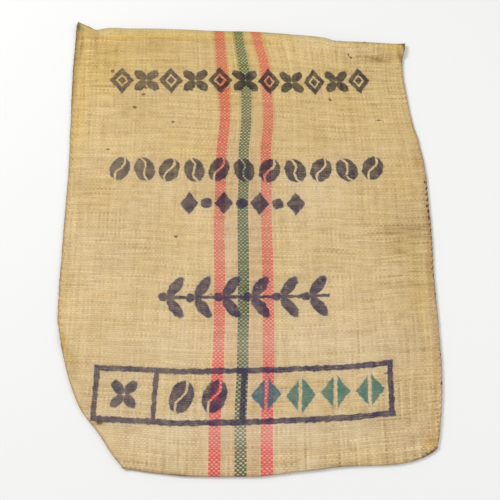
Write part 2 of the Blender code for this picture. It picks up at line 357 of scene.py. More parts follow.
# The picks bow: the first pick above the fold, and the one at the mouth.
bow_low = smooth_table([(-0.36, -0.462), (-0.2, -0.470), (-0.04, -0.480), (0.06, -0.476), (0.2184, -0.4625), (0.36, -0.448)])
bow_high = smooth_table([(-0.36, 0.458), (-0.15, 0.458), (0.02, 0.451), (0.17, 0.436), (0.2, 0.430), (0.36, 0.424)])


def across_of(x, y, knots):
    """Cloth coordinate across, from the places of both selvedges and the three stripes."""
    left = np.where(y > -0.15, left_x(np.maximum(y, -0.15)), -0.343)
    right = right_x(np.clip(y, -0.30, 0.421))
    places = [left, *knots, right]
    values = [-WIDE, -STRIPE, 0.0, STRIPE, WIDE]
    result = np.zeros_like(x)
    for k in range(4):
        t = (x - places[k]) / (places[k + 1] - places[k])
        here = mix(values[k], values[k + 1], t)
        if k == 0:
            result = here
        else:
            result = np.where(x >= places[k], here, result)
    return result


def seen(x, y, z):
    """Where the eye sees a point, on the plane of the floor."""
    k = EYE.z / (EYE.z - z)
    return EYE.x + (x - EYE.x) * k, EYE.y + (y - EYE.y) * k


def front_cloth(x, y, z):
    px, py = seen(x, y, z)
    across = across_of(px, py, [stripe_left(py), stripe_middle(py), stripe_right(py)])
    low, high = bow_low(px), bow_high(px)
    return across, LONG * (py - low) / (high - low)


def back_cloth(x, y):
    flat = np.zeros_like(x)
    knots = [flat + mix(-0.0513, -0.0470, smoothstep(-0.4, 0.4, y)), flat - 0.004, flat + 0.041]
    return across_of(x, y, knots), -(y - bow_low(x)) * LONG / 0.921


# ================================================================ the strip of cloth
INNER = 130  # cells between the edge columns
FRONT_ROWS, BACK_ROWS = 196, 72
EDGE_STEPS = np.array([0.0, 0.0014, 0.0032, 0.0056])
BEND_STEPS = np.radians([0.0, 30.0, 60.0, 90.0])
# Levels of the four layers at the tucked corner, at the middle of the cloth.
LEVELS = [SHEET / 2 + LAYER * k for k in range(4)]  # own corner's front, its back, the back, the front
BEND_MIDDLE = (LEVELS[0] + LEVELS[3]) / 2
FRONT_BEND, BACK_BEND = (LEVELS[3] - LEVELS[0]) / 2, (LEVELS[2] - LEVELS[1]) / 2


def side_of_line(x, y, a, b):
    """Distance to the left of the line from a to b."""
    dx, dy = b[0] - a[0], b[1] - a[1]
    return ((y - a[1]) * dx - (x - a[0]) * dy) / math.hypot(dx, dy)


def over_tuck(x, y):
    """1 above the corner tucked underneath, falling softly to 0 beside it."""
    inside = np.minimum(
        side_of_line(x, y, TUCK_CORNER, TUCK_TIP),
        side_of_line(x, y, TUCK_END, TUCK_CORNER),
    )
    return smoothstep(-0.016, 0.004, inside)


def tuck_share(v):
    """0 where the side is a sewn selvedge, 1 where it is the tucked corner's fold."""
    y = plan(0.0, v)[1]
    return smoothstep(TUCK_TIP[1], TUCK_TIP[1] - TUCK_FADE, y)


def shares_at(v, back):
    """Shares of the width for every column, one row for each v."""
    width = width_at(v)[:, None]
    tuck = tuck_share(v)[:, None]
    turn = BACK_BEND if back else FRONT_BEND
    bend = SHEET / 2 + (FRONT_BEND - turn * np.cos(BEND_STEPS)[None, :])
    left = mix(EDGE_STEPS[None, :] + 0 * width, bend / 0.87, tuck)
    right = np.broadcast_to(EDGE_STEPS[None, :], left.shape)
    t = np.linspace(0.0, 1.0, INNER + 1)[1:-1]
    t = 0.75 * t + 0.25 * (0.5 - 0.5 * np.cos(np.pi * t))
    start, end = left[:, -1:], width - right[:, -1:]
    inner = start + (end - start) * t[None, :]
    return np.concatenate([left, inner, width - right[:, ::-1]], axis=1) / width


def hem_zone(v):
    return smoothstep(1 - 0.046 / LENGTH, 1 - 0.026 / LENGTH, v)


def from_sides(u, v):
    return np.minimum(u, 1 - u) * width_at(v)


def back_middle(x, y, u, v):
    """Height of the middle of the back layer."""
    edge = from_sides(u, v)
    tuck = np.where(u < 0.5, tuck_share(v), 0.0)
    lift = 0.0010 * np.exp(-((edge / 0.010) ** 2)) * (1 - tuck)
    settle = 0.0005 * (1 + bumps(x, y, 9.0, 4.1)) * smoothstep(0.01, 0.05, edge)
    return SHEET / 2 + np.maximum(lift, 0) + (LEVELS[2] - LEVELS[0]) * over_tuck(x, y) + settle * 0.6


def front_middle(x, y, u, v):
    """Height of the middle of the front layer."""
    width = width_at(v)
    inner = (u * width - SEAM_WIDTH) / (width - 2 * SEAM_WIDTH)
    edge = from_sides(u, v)
    height = SEAM_HEIGHT + crown_at(inner) * (loft_at(v) + relief(x, y, FOLDS) * np.minimum(1.0, v * 8))
    free = smoothstep(0.002, 0.024, edge) * smoothstep(0.0, 0.02, v)
    fine = relief(x, y, CREASES)
    # puckers: the cloth gathers a little along the stitching and the hem
    pucker = bumps(x * 0.55, y, 34.0, 2.7) * 0.0011 * np.exp(-((edge / 0.040) ** 2))
    hem = bumps(x, y * 0.4, 30.0, 8.3) * 0.0011 * smoothstep(0.90, 0.985, v)
    # the turned hem stands up a little, and its stitches pull a groove into it
    down = (1 - v) * LENGTH
    hem = hem + 0.0010 * smoothstep(0.0250, 0.0205, down) - 0.0008 * np.exp(-(((down - 0.0178) / 0.0022) ** 2))
    low = bumps(x, y, 30.0, 5.5) * 0.0011 * smoothstep(0.06, 0.0, v)
    soft = bumps(x, y, 8.0, 1.3) * 0.0011 + bumps(x * 0.7, y * 1.3, 19.0, 3.9) * 0.0007
    height = height - SHEET / 2 - 0.0004 + (fine + pucker + hem + low + soft) * free
    below = back_middle(x, y, u, v)
    need = mix(LAYER, 2 * 2 * TURN + LAYER, hem_zone(v))
    return soft_max(height, below + need, 0.0007)


fold_inset = (SHEET / 2 + FOLD_REACH) / LENGTH
lip_inset = (SHEET / 2 + TURN) / LENGTH
Section = namedtuple("Section", "x y z across along")


def panel(v, back):
    """Points of one panel, a row for each v."""
    u = shares_at(v, back)
    vv = np.broadcast_to(v[:, None], u.shape)
    x, y = plan(u, vv)
    if back:
        y = y + lip_at(u) * smoothstep(0.80, 1.0, vv)
        z = back_middle(x, y, u, vv)
    else:
        z = front_middle(x, y, u, vv)
    # the tucked corner's fold, and the selvedge where there is none
    tuck = tuck_share(v)[:, None]
    turn = BACK_BEND if back else FRONT_BEND
    bend = BEND_MIDDLE + turn * np.sin(BEND_STEPS)[None, :]
    z[:, :4] = mix(z[:, :4], bend, tuck)
    # the stitches draw the selvedges in at each hole
    drawn = 0.0003 * np.sin(y * (2 * math.pi / 0.0142) + (0.0 if back else 0.9)) + 0.0008 * bumps(x, y, 46.0, 6.2)
    pull = np.exp(-((from_sides(u, vv) / 0.006) ** 2)) * np.where(u < 0.5, 1 - tuck, 1.0)
    x = x + drawn * pull * np.where(u < 0.5, 1.0, -1.0)
    if back:
        across, along = back_cloth(x, y)
    else:
        width = width_at(vv)
        base = SEAM_HEIGHT + crown_at((u * width - SEAM_WIDTH) / (width - 2 * SEAM_WIDTH)) * loft_at(vv)
        across, along = front_cloth(x, y, base)
    return Section(x, y, z, across, along)


def spaced(low, high, count, ends):
    t = np.linspace(0.0, 1.0, count)
    t = (1 - ends) * t + ends * (0.5 - 0.5 * np.cos(np.pi * t))
    return low + (high - low) * t


back_v = spaced(1 - lip_inset, fold_inset, BACK_ROWS, 0.45)
front_v = spaced(fold_inset, 1 - lip_inset, FRONT_ROWS, 0.30)
front_v = np.concatenate([front_v[front_v < 1 - 0.0275 / LENGTH], 1 - np.arange(0.0265, 0.0020, -0.0018) / LENGTH])
FRONT_ROWS = len(front_v)
back_panel, front_panel = panel(back_v, True), panel(front_v, False)


def hem(section, row, up):
    """The turned lip and the flap inside, going on from a panel's row at the mouth. up is 1 where the flap is above."""
    x0, y0, z0 = section.x[row], section.y[row], section.z[row]
    a0, l0 = section.across[row], section.along[row]
    sign = -1.0 if up > 0 else 1.0  # the back's coordinate runs down
    rows = []
    for turn in np.radians([30, 60, 90, 120, 150, 180]):
        rows.append((x0, y0 + TURN * np.sin(turn), z0 + up * TURN * (1 - np.cos(turn)), a0, l0 + sign * TURN * turn))
    arc = math.pi * TURN
    inner = section
    for depth in (0.004, 0.009, 0.015, HEM_DEPTH - 0.0012):
        # follow the panel's own shape that far down
        v = (back_v if up > 0 else front_v)[row]
        steps = back_v if up > 0 else front_v
        target = v - depth / LENGTH
        order = np.argsort(steps)
        x = np.array([np.interp(target, steps[order], inner.x[order, c]) for c in range(inner.x.shape[1])])
        y = np.array([np.interp(target, steps[order], inner.y[order, c]) for c in range(inner.x.shape[1])])
        z = np.array([np.interp(target, steps[order], inner.z[order, c]) for c in range(inner.x.shape[1])])
        sag = 0.0003 * depth / HEM_DEPTH
        rows.append((x, y, z + up * (2 * TURN + sag), a0, l0 + sign * (arc + depth)))
    return Section(*(np.array(part) for part in zip(*rows)))


def reverse(section):
    return Section(*(part[::-1] for part in section))


back_hem = reverse(hem(back_panel, 0, 1.0))
front_hem = hem(front_panel, -1, -1.0)


def fold_rows(low, high, out, along_low, along_high, across):
    """Points round a fold, from the back's row to the front's."""
    rows = []
    for turn in np.radians([-60, -30, 0, 30, 60]):
        t = (1 + math.sin(turn)) / 2
        middle = [mix(a, b, 0.5) for a, b in zip(low, high)]
        half = [(b - a) / 2 for a, b in zip(low, high)]
        point = [m + h * math.sin(turn) + o * math.cos(turn) for m, h, o in zip(middle, half, out)]
        share = 0.5 + turn / math.pi
        rows.append((*point, mix(across[0], across[1], t), mix(along_low, along_high, share)))
    return Section(*(np.array(part) for part in zip(*rows)))


low_row = (back_panel.x[-1], back_panel.y[-1], back_panel.z[-1])
high_row = (front_panel.x[0], front_panel.y[0], front_panel.z[0])
flat_row = np.zeros_like(low_row[0])
bottom = fold_rows(
    low_row,
    high_row,
    (flat_row, flat_row - FOLD_REACH * (1 + 0.25 * bumps(low_row[0], low_row[1], 28.0, 7.7)), flat_row),
    back_panel.along[-1],
    front_panel.along[0],
    (back_panel.across[-1], front_panel.across[0]),
)

main = Section(
    *(
        np.concatenate(parts, axis=0)
        for parts in zip(back_hem, back_panel, bottom, front_panel, front_hem)
    )
)
first_back = len(back_hem.x)
first_fold = first_back + BACK_ROWS
first_front = first_fold + len(bottom.x)

# ---------------------------------------------------------------- the corner tucked underneath
FLAP = 18  # columns beyond the fold


def flap_of(section, steps, rows, back):
    """The tucked part of some of a panel's rows: columns going on from the panel's first one, under the sack."""
    turn = BACK_BEND if back else FRONT_BEND
    level = LEVELS[1] if back else LEVELS[0]
    out = []
    for r in rows:
        v = steps[r]
        share = float(tuck_share(np.array([v]))[0])
        left, deep = (section.x[r][0], section.y[r][0]), section.x[r][1:4]
        t = (float(plan(0.0, v)[1]) - TUCK_END[1]) / (TUCK_TIP[1] - TUCK_END[1])
        t = min(max(t, 0.0), 1.0)
        shift = 0.004 if back else 0.0  # the layers' selvedges don't quite meet
        far = (mix(TUCK_CORNER[0], TUCK_TIP[0], t) - shift * (1 - t), mix(TUCK_CORNER[1], TUCK_TIP[1], t) + shift * 0.3)
        line = []
        for m in range(1, FLAP + 1):
            if m <= 3:
                x, y = deep[m - 1], section.y[r][m]
                z = mix(section.z[r][0], BEND_MIDDLE - turn * math.sin(BEND_STEPS[m]), share)
            else:
                k = (m - 3) / (FLAP - 3)
                x, y = mix(deep[2], far[0], k), mix(section.y[r][3], far[1], k)
                z = level
            line.append((x, y, max(z, level)))
        out.append(line)
    return np.array(out)


def mirrored(x, y):
    """Where a point of the tucked corner lay before it was turned under. The fold bulges out from its chord."""
    dx, dy = TUCK_END[0] - TUCK_TIP[0], TUCK_END[1] - TUCK_TIP[1]
    size = math.hypot(dx, dy)
    dx, dy = dx / size, dy / size
    nx, ny = -dy, dx
    d = (x - TUCK_TIP[0]) * nx + (y - TUCK_TIP[1]) * ny
    fold_y = np.linspace(TUCK_TIP[1], TUCK_END[1], 60)
    fold_x = left_x(fold_y)
    run = (fold_x - TUCK_TIP[0]) * dx + (fold_y - TUCK_TIP[1]) * dy
    out = np.maximum(-((fold_x - TUCK_TIP[0]) * nx + (fold_y - TUCK_TIP[1]) * ny), 0.0)
    bulge = np.interp((x - TUCK_TIP[0]) * dx + (y - TUCK_TIP[1]) * dy, run, out)
    return x - 2 * (d + bulge) * nx, y - 2 * (d + bulge) * ny


back_tuck_rows = [r for r in range(BACK_ROWS) if plan(0.0, back_v[r])[1] < TUCK_TIP[1] - 0.002]
front_tuck_rows = [r for r in range(FRONT_ROWS) if plan(0.0, front_v[r])[1] < TUCK_TIP[1] - 0.002]
back_flap = flap_of(back_panel, back_v, back_tuck_rows, True)
front_flap = flap_of(front_panel, front_v, front_tuck_rows, False)
edge_out = np.array((0.864, -0.503, 0.0))
flap_fold = []
for turn in np.radians([-60, -30, 0, 30, 60]):
    low, high = back_flap[-1], front_flap[0]
    ease = np.minimum(np.arange(1, FLAP + 1) / 3.0, 1.0)[:, None]
    outward = mix(np.array((0.0, -1.0, 0.0))[None, :] * FOLD_REACH, edge_out[None, :] * BACK_BEND, ease)
    flap_fold.append((low + high) / 2 + (high - low) / 2 * math.sin(turn) + outward * math.cos(turn))
flap = np.concatenate([back_flap, np.array(flap_fold), front_flap], axis=0)
flap_first = first_back + back_tuck_rows[0]  # the main row beside the flap's first one
flap_back_count = len(back_flap)
mx, my = mirrored(flap[:, :, 0], flap[:, :, 1])
flap_across, flap_along = front_cloth(mx, my, 0.0 * mx)
back_across, back_along = back_cloth(mx, my)
flap_across[:flap_back_count], flap_along[:flap_back_count] = back_across[:flap_back_count], back_along[:flap_back_count]
for k in range(5):
    t = (k + 1) / 6
    flap_across[flap_back_count + k] = mix(flap_across[flap_back_count - 1], flap_across[flap_back_count + 5], t)
    flap_along[flap_back_count + k] = mix(flap_along[flap_back_count - 1], flap_along[flap_back_count + 5], t)

# ---------------------------------------------------------------- one mesh
rows, columns = main.x.shape
co = np.stack([main.x, main.y, main.z], axis=-1).reshape(-1, 3)
cloth_uv = np.stack([main.across, main.along], axis=-1).reshape(-1, 2)
faces, face_uv = [], []
index = np.arange(rows * columns).reshape(rows, columns)
for r in range(rows - 1):
    for c in range(columns - 1):
        quad = (index[r, c], index[r, c + 1], index[r + 1, c + 1], index[r + 1, c])
        faces.append(quad)
        face_uv.append([cloth_uv[k] for k in quad])
flap_rows = flap.shape[0]
flap_start = len(co)
co = np.concatenate([co, flap.reshape(-1, 3)], axis=0)
flap_uv = np.stack([flap_across, flap_along], axis=-1)


def flap_point(r, m):
    return index[flap_first + r, 0] if m == 0 else flap_start + r * FLAP + m - 1


def flap_coordinate(r, m):
    if m > 0:
        return flap_uv[r, m - 1]
    step = flap_uv[r, 0] - flap_uv[r, 1]
    return flap_uv[r, 0] + step


for r in range(flap_rows - 1):
    for m in range(FLAP):
        corners = ((r, m + 1), (r, m), (r + 1, m), (r + 1, m + 1))
        faces.append(tuple(flap_point(*k) for k in corners))
        face_uv.append([flap_coordinate(*k) for k in corners])
for r, tip in ((0, flap_first - 1), (flap_rows - 1, flap_first + flap_rows)):
    for m in range(FLAP):
        corners = [(r, m + 1), (r, m)] if r == 0 else [(r, m), (r, m + 1)]
        faces.append((*(flap_point(*k) for k in corners), index[tip, 0]))
        near = [flap_coordinate(*k) for k in corners]
        face_uv.append([*near, near[0 if r else 1]])

mesh = bpy.data.meshes.new("sack_cloth")
mesh.from_pydata([tuple(p) for p in co], [], [tuple(int(k) for k in f) for f in faces])
layer = mesh.uv_layers.new(name="Cloth")
flat_uv = np.array([uv for face in face_uv for uv in face], np.float32)
layer.data.foreach_set("uv", flat_uv.ravel())
mesh.update()


# ================================================================ stains and soft changes of tone, with painted shade and painted light
# The first kind is brown stains together with painted shade in creases and along turned edges, gold is a warmer
# yellower tone, and the third is rubbed and lighter, with painted light on a few ridges and along the bottom fold.
Patch = namedtuple("Patch", "kind x y wide high heading strength")
PATCHES = [
    # the ear and the left side
    # painted shade round the ear, along its turned edges and below its fold
    Patch("soil_and_shade", -0.3540, 0.4600, 0.007, 0.018, 6, 0.62),
    Patch("soil_and_shade", -0.3340, 0.4640, 0.022, 0.0022, -33, 0.75),
    Patch("gold", -0.3400, 0.4500, 0.016, 0.020, -10, 1.00),
    # painted shade: thin dark lines down the left edge, where the seam turns down
    Patch("soil_and_shade", -0.3570, 0.4200, 0.0052, 0.060, 1, 0.55),
    Patch("soil_and_shade", -0.3560, 0.3200, 0.0042, 0.075, 2, 0.42),
    Patch("soil_and_shade", -0.3440, 0.4300, 0.005, 0.030, 6, 0.22),
    Patch("soil_and_shade", -0.3490, 0.4050, 0.0075, 0.022, 0, 0.38),
    Patch("soil_and_shade", -0.3490, 0.3700, 0.0060, 0.025, 0, 0.12),
    Patch("soil_and_shade", -0.3505, 0.3200, 0.0052, 0.040, 0, 0.25),
    Patch("soil_and_shade", -0.3300, 0.4450, 0.014, 0.010, 0, 0.14),
    Patch("gold", -0.3480, 0.3800, 0.0090, 0.050, 0, 0.45),
    # painted highlight on the ridge beside the ear
    Patch("pale_and_lit", -0.3000, 0.4400, 0.030, 0.0045, 16, 0.50),
    Patch("soil_and_shade", -0.3180, 0.4330, 0.018, 0.006, -12, 0.24),
    Patch("soil_and_shade", -0.312, 0.395, 0.007, 0.050, 4, 0.16),
    Patch("soil_and_shade", -0.290, 0.350, 0.006, 0.060, 2, 0.12),
    Patch("soil_and_shade", -0.232, 0.300, 0.055, 0.110, 0, 0.17),
    Patch("soil_and_shade", -0.215, 0.402, 0.090, 0.022, 0, 0.21),
    Patch("soil_and_shade", -0.090, 0.385, 0.045, 0.050, 0, 0.08),
    Patch("soil_and_shade", 0.225, 0.385, 0.060, 0.030, 0, 0.09),
    Patch("soil_and_shade", -0.350, 0.220, 0.008, 0.240, 0, 0.08),
    Patch("soil_and_shade", -0.300, 0.050, 0.050, 0.050, 0, 0.08),
    Patch("soil_and_shade", -0.318, 0.090, 0.012, 0.030, 0, 0.12),
    Patch("soil_and_shade", -0.285, -0.020, 0.050, 0.022, 0, 0.08),
    Patch("soil_and_shade", -0.270, -0.085, 0.070, 0.045, 0, 0.05),
    Patch("soil_and_shade", -0.340, -0.190, 0.010, 0.020, 0, 0.12),
    # painted shade beside the tucked fold, and in the pucker below it
    Patch("soil_and_shade", -0.318, -0.262, 0.010, 0.050, 28, 0.18),
    Patch("soil_and_shade", -0.252, -0.388, 0.010, 0.006, 0, 0.62),
    # painted shade along the bottom fold, where the cloth turns under
    Patch("soil_and_shade", -0.180, -0.462, 0.050, 0.006, -8, 0.16),
    Patch("soil_and_shade", -0.105, -0.4780, 0.036, 0.0026, -5, 0.85),
    Patch("soil_and_shade", -0.165, -0.4720, 0.020, 0.0020, -6, 0.45),
    Patch("soil_and_shade", -0.135, -0.4500, 0.0030, 0.024, 0, 0.26),
    Patch("soil_and_shade", -0.112, -0.4400, 0.0030, 0.020, 0, 0.20),
    Patch("soil_and_shade", -0.073, -0.4470, 0.0030, 0.022, 0, 0.16),
    # the upper right
    # painted shade down the upper right corner's turned edge
    Patch("soil_and_shade", 0.3370, 0.4060, 0.0035, 0.018, 12, 0.80),
    Patch("soil_and_shade", 0.3380, 0.4190, 0.008, 0.005, 0, 0.95),
    Patch("soil_and_shade", 0.3275, 0.3870, 0.0042, 0.022, 9, 0.75),
    Patch("soil_and_shade", 0.2520, 0.4190, 0.006, 0.0030, 0, 0.85),
    # painted shade in the trough under the corner
    Patch("soil_and_shade", 0.305, 0.384, 0.030, 0.014, 0, 0.15),
    Patch("soil_and_shade", 0.279, 0.3770, 0.024, 0.0038, -8, 0.52),
    Patch("soil_and_shade", 0.262, 0.372, 0.040, 0.010, 4, 0.16),
    # painted highlight on the ridge above the trough
    Patch("pale_and_lit", 0.255, 0.3960, 0.018, 0.006, 22, 0.20),
    Patch("soil_and_shade", 0.255, 0.3230, 0.030, 0.004, 2, 0.30),
    Patch("soil_and_shade", 0.190, 0.340, 0.060, 0.004, -3, 0.20),
    # the right side and corner
    Patch("soil_and_shade", 0.300, -0.020, 0.042, 0.060, 0, 0.21),
    Patch("soil_and_shade", 0.310, -0.200, 0.034, 0.130, 0, 0.13),
    Patch("soil_and_shade", 0.326, -0.0150, 0.040, 0.0040, 1, 0.24),
    Patch("soil_and_shade", 0.324, -0.0260, 0.040, 0.0040, 0, 0.24),
    Patch("gold", 0.318, -0.060, 0.050, 0.040, 0, 0.40),
    Patch("soil_and_shade", 0.345, 0.140, 0.014, 0.110, 0, 0.20),
    Patch("soil_and_shade", 0.346, -0.160, 0.014, 0.160, 0, 0.11),
    Patch("gold", 0.330, -0.190, 0.022, 0.150, 2, 0.46),
    Patch("soil_and_shade", 0.296, -0.130, 0.050, 0.006, 0, 0.18),
    # painted shade along the lower right corner's edge
    Patch("soil_and_shade", 0.3330, -0.4320, 0.012, 0.0045, 45, 0.85),
    Patch("soil_and_shade", 0.3220, -0.4410, 0.018, 0.0035, 28, 0.60),
    Patch("gold", 0.3220, -0.4250, 0.014, 0.012, 30, 0.80),
    # painted shade down the corner's right edge
    Patch("soil_and_shade", 0.3420, -0.4100, 0.0030, 0.030, -12, 0.40),
    # painted shade along the bottom edge, where it turns away from the light
    Patch("soil_and_shade", 0.296, -0.446, 0.040, 0.006, 12, 0.16),
    Patch("soil_and_shade", 0.180, -0.456, 0.100, 0.006, 6, 0.14),
    Patch("soil_and_shade", 0.160, -0.380, 0.070, 0.040, 10, 0.06),
    # painted shade along the bottom edge
    Patch("soil_and_shade", 0.000, -0.472, 0.040, 0.005, 2, 0.08),
    Patch("soil_and_shade", 0.250, -0.360, 0.060, 0.030, 20, 0.08),
    Patch("soil_and_shade", 0.246, -0.394, 0.034, 0.022, 0, 0.15),
    Patch("soil_and_shade", 0.170, -0.080, 0.060, 0.010, 4, 0.10),
    Patch("soil_and_shade", -0.290, 0.352, 0.024, 0.050, 0, 0.10),
    Patch("soil_and_shade", -0.090, 0.054, 0.030, 0.020, 0, 0.10),
    Patch("soil_and_shade", 0.007, 0.215, 0.022, 0.020, 0, 0.09),
    Patch("soil_and_shade", 0.278, -0.262, 0.040, 0.026, 8, 0.09),
    # warmer places
    Patch("gold", -0.288, 0.352, 0.026, 0.055, 0, 0.45),
    Patch("gold", -0.3330, -0.1900, 0.0040, 0.050, 4, 0.70),
    Patch("gold", -0.3240, -0.2420, 0.0040, 0.028, 20, 0.95),
    Patch("gold", -0.3080, -0.2680, 0.0045, 0.026, 42, 0.95),
    Patch("gold", 0.000, 0.440, 0.340, 0.030, -3, 0.45),
    Patch("gold", -0.230, 0.390, 0.130, 0.060, 0, 0.25),
    Patch("gold", -0.336, 0.200, 0.010, 0.280, 0, 0.40),
    Patch("gold", -0.322, -0.130, 0.010, 0.080, 8, 0.16),
    Patch("gold", 0.060, 0.424, 0.300, 0.016, -3, 0.22),
    Patch("gold", -0.030, 0.300, 0.260, 0.060, 0, 0.14),
    # rubbed places; the first two, along the bottom fold, are painted light over the fold's shade
    Patch("pale_and_lit", 0.100, -0.4730, 0.050, 0.0060, 3, 0.95),
    Patch("pale_and_lit", 0.112, -0.4570, 0.018, 0.0080, 4, 0.80),
    Patch("pale_and_lit", 0.140, -0.250, 0.140, 0.040, 0, 0.35),
    Patch("pale_and_lit", -0.130, -0.250, 0.160, 0.040, 0, 0.35),
    Patch("pale_and_lit", -0.020, -0.410, 0.280, 0.030, 0, 0.40),
    Patch("pale_and_lit", 0.120, -0.405, 0.100, 0.020, 0, 0.30),
    Patch("pale_and_lit", -0.160, 0.055, 0.060, 0.030, 0, 0.20),
    Patch("pale_and_lit", 0.130, 0.050, 0.090, 0.060, 0, 0.35),
    Patch("pale_and_lit", 0.150, 0.408, 0.120, 0.012, -6, 0.50),
    Patch("pale_and_lit", -0.210, 0.452, 0.100, 0.008, -2, 0.30),
    # darker, more uneven picks
    Patch("streak", -0.310, 0.392, 0.040, 0.040, 0, 0.60),
    Patch("streak", -0.310, 0.290, 0.040, 0.060, 0, 0.70),
    Patch("streak", -0.220, 0.320, 0.080, 0.060, 0, 0.50),
    Patch("streak", -0.300, 0.060, 0.050, 0.080, 0, 0.10),
    Patch("streak", -0.250, -0.040, 0.070, 0.060, 0, 0.20),
    Patch("streak", 0.280, 0.330, 0.070, 0.060, 0, 0.75),
    Patch("streak", 0.220, 0.240, 0.070, 0.030, 0, 0.50),
    Patch("streak", 0.160, 0.310, 0.070, 0.030, 0, 0.40),
    Patch("streak", 0.320, -0.020, 0.060, 0.060, 0, 0.60),
    Patch("streak", 0.310, -0.130, 0.050, 0.060, 0, 0.60),
    Patch("streak", 0.240, -0.040, 0.080, 0.040, 0, 0.40),
    Patch("streak", 0.300, -0.380, 0.060, 0.060, 0, 0.50),
]


def tone_of(x, y, kind, front):
    total = np.zeros_like(x)
    for patch in PATCHES:
        if patch.kind != kind:
            continue
        turn = math.radians(patch.heading)
        dx, dy = x - patch.x, y - patch.y
        along = dx * math.cos(turn) + dy * math.sin(turn)
        over = dy * math.cos(turn) - dx * math.sin(turn)
        total += patch.strength * np.exp(-((along / patch.wide) ** 2) - (over / patch.high) ** 2)
    share = {"soil_and_shade": 0.08, "gold": 0.22, "pale_and_lit": 0.14, "streak": 0.16}[kind]
    seed = {"soil_and_shade": 11.3, "gold": 23.9, "pale_and_lit": 37.1, "streak": 41.7}[kind]
    general = share * (0.6 + bumps(x, y, 7.0, seed) + 0.7 * bumps(x, y, 17.0, seed + 3))
    if kind == "gold":  # the upper half has yellowed more
        general = general + 0.56 * smoothstep(-0.15, 0.50, y)
    return np.clip(total * front + general, 0.0, 1.0)


vx, vy = co[:, 0], co[:, 1]
front_mask = np.zeros(len(co))
front_mask[: rows * columns] = np.repeat((np.arange(rows) >= first_fold).astype(float), columns)
tone = np.ones((len(co), 4), np.float32)
for channel, kind in enumerate(("soil_and_shade", "gold", "pale_and_lit", "streak")):
    tone[:, channel] = tone_of(vx, vy, kind, front_mask)
# painted shade where the cloth turns down along both sides, the bottom fold and the mouth, with some real staining
left_edge = np.hypot(main.x - main.x[:, :1], main.y - main.y[:, :1])
right_edge = np.hypot(main.x - main.x[:, -1:], main.y - main.y[:, -1:])
low_edge = np.abs(main.y - bottom_y(main.x))
edge_shade_and_grime = 0.72 * np.exp(-((left_edge / 0.0024) ** 2)) + 0.55 * np.exp(-((right_edge / 0.0024) ** 2))
high_edge = np.abs(mouth_y(main.x) - main.y)
edge_shade_and_grime = edge_shade_and_grime + 0.40 * np.exp(-((low_edge / 0.0022) ** 2)) + 0.60 * np.exp(-((high_edge / 0.0034) ** 2))
edge_shade_and_grime = edge_shade_and_grime * (0.85 + 0.35 * bumps(main.x, main.y, 30.0, 51.0))
tone[: rows * columns, 0] = np.clip(tone[: rows * columns, 0] + edge_shade_and_grime.ravel(), 0.0, 1.0)
layer = mesh.attributes.new("Tone", "FLOAT_COLOR", "POINT")
layer.data.foreach_set("color", tone.ravel())

sack = bpy.data.objects.new("sack_cloth", mesh)
bpy.context.scene.collection.objects.link(sack)
mesh.shade_smooth()
solid = sack.modifiers.new("cloth", "SOLIDIFY")
solid.thickness = SHEET
solid.offset = 0.0
solid.use_even_offset = False
solid.material_offset = 1
solid.material_offset_rim = 1


# ================================================================ node arithmetic
class Value:
    """A socket that adds, multiplies and so on by making Math nodes."""

    def __init__(self, net, socket):
        self.net, self.socket = net, socket

    def __add__(self, other):
        return self.net.math("ADD", self, other)

    __radd__ = __add__

    def __sub__(self, other):
        return self.net.math("SUBTRACT", self, other)

    def __rsub__(self, other):
        return self.net.math("SUBTRACT", other, self)

    def __mul__(self, other):
        return self.net.math("MULTIPLY", self, other)

    __rmul__ = __mul__

    def __truediv__(self, other):
        return self.net.math("DIVIDE", self, other)

    def __lt__(self, other):
        return self.net.math("LESS_THAN", self, other)

    def __gt__(self, other):
        return self.net.math("GREATER_THAN", self, other)


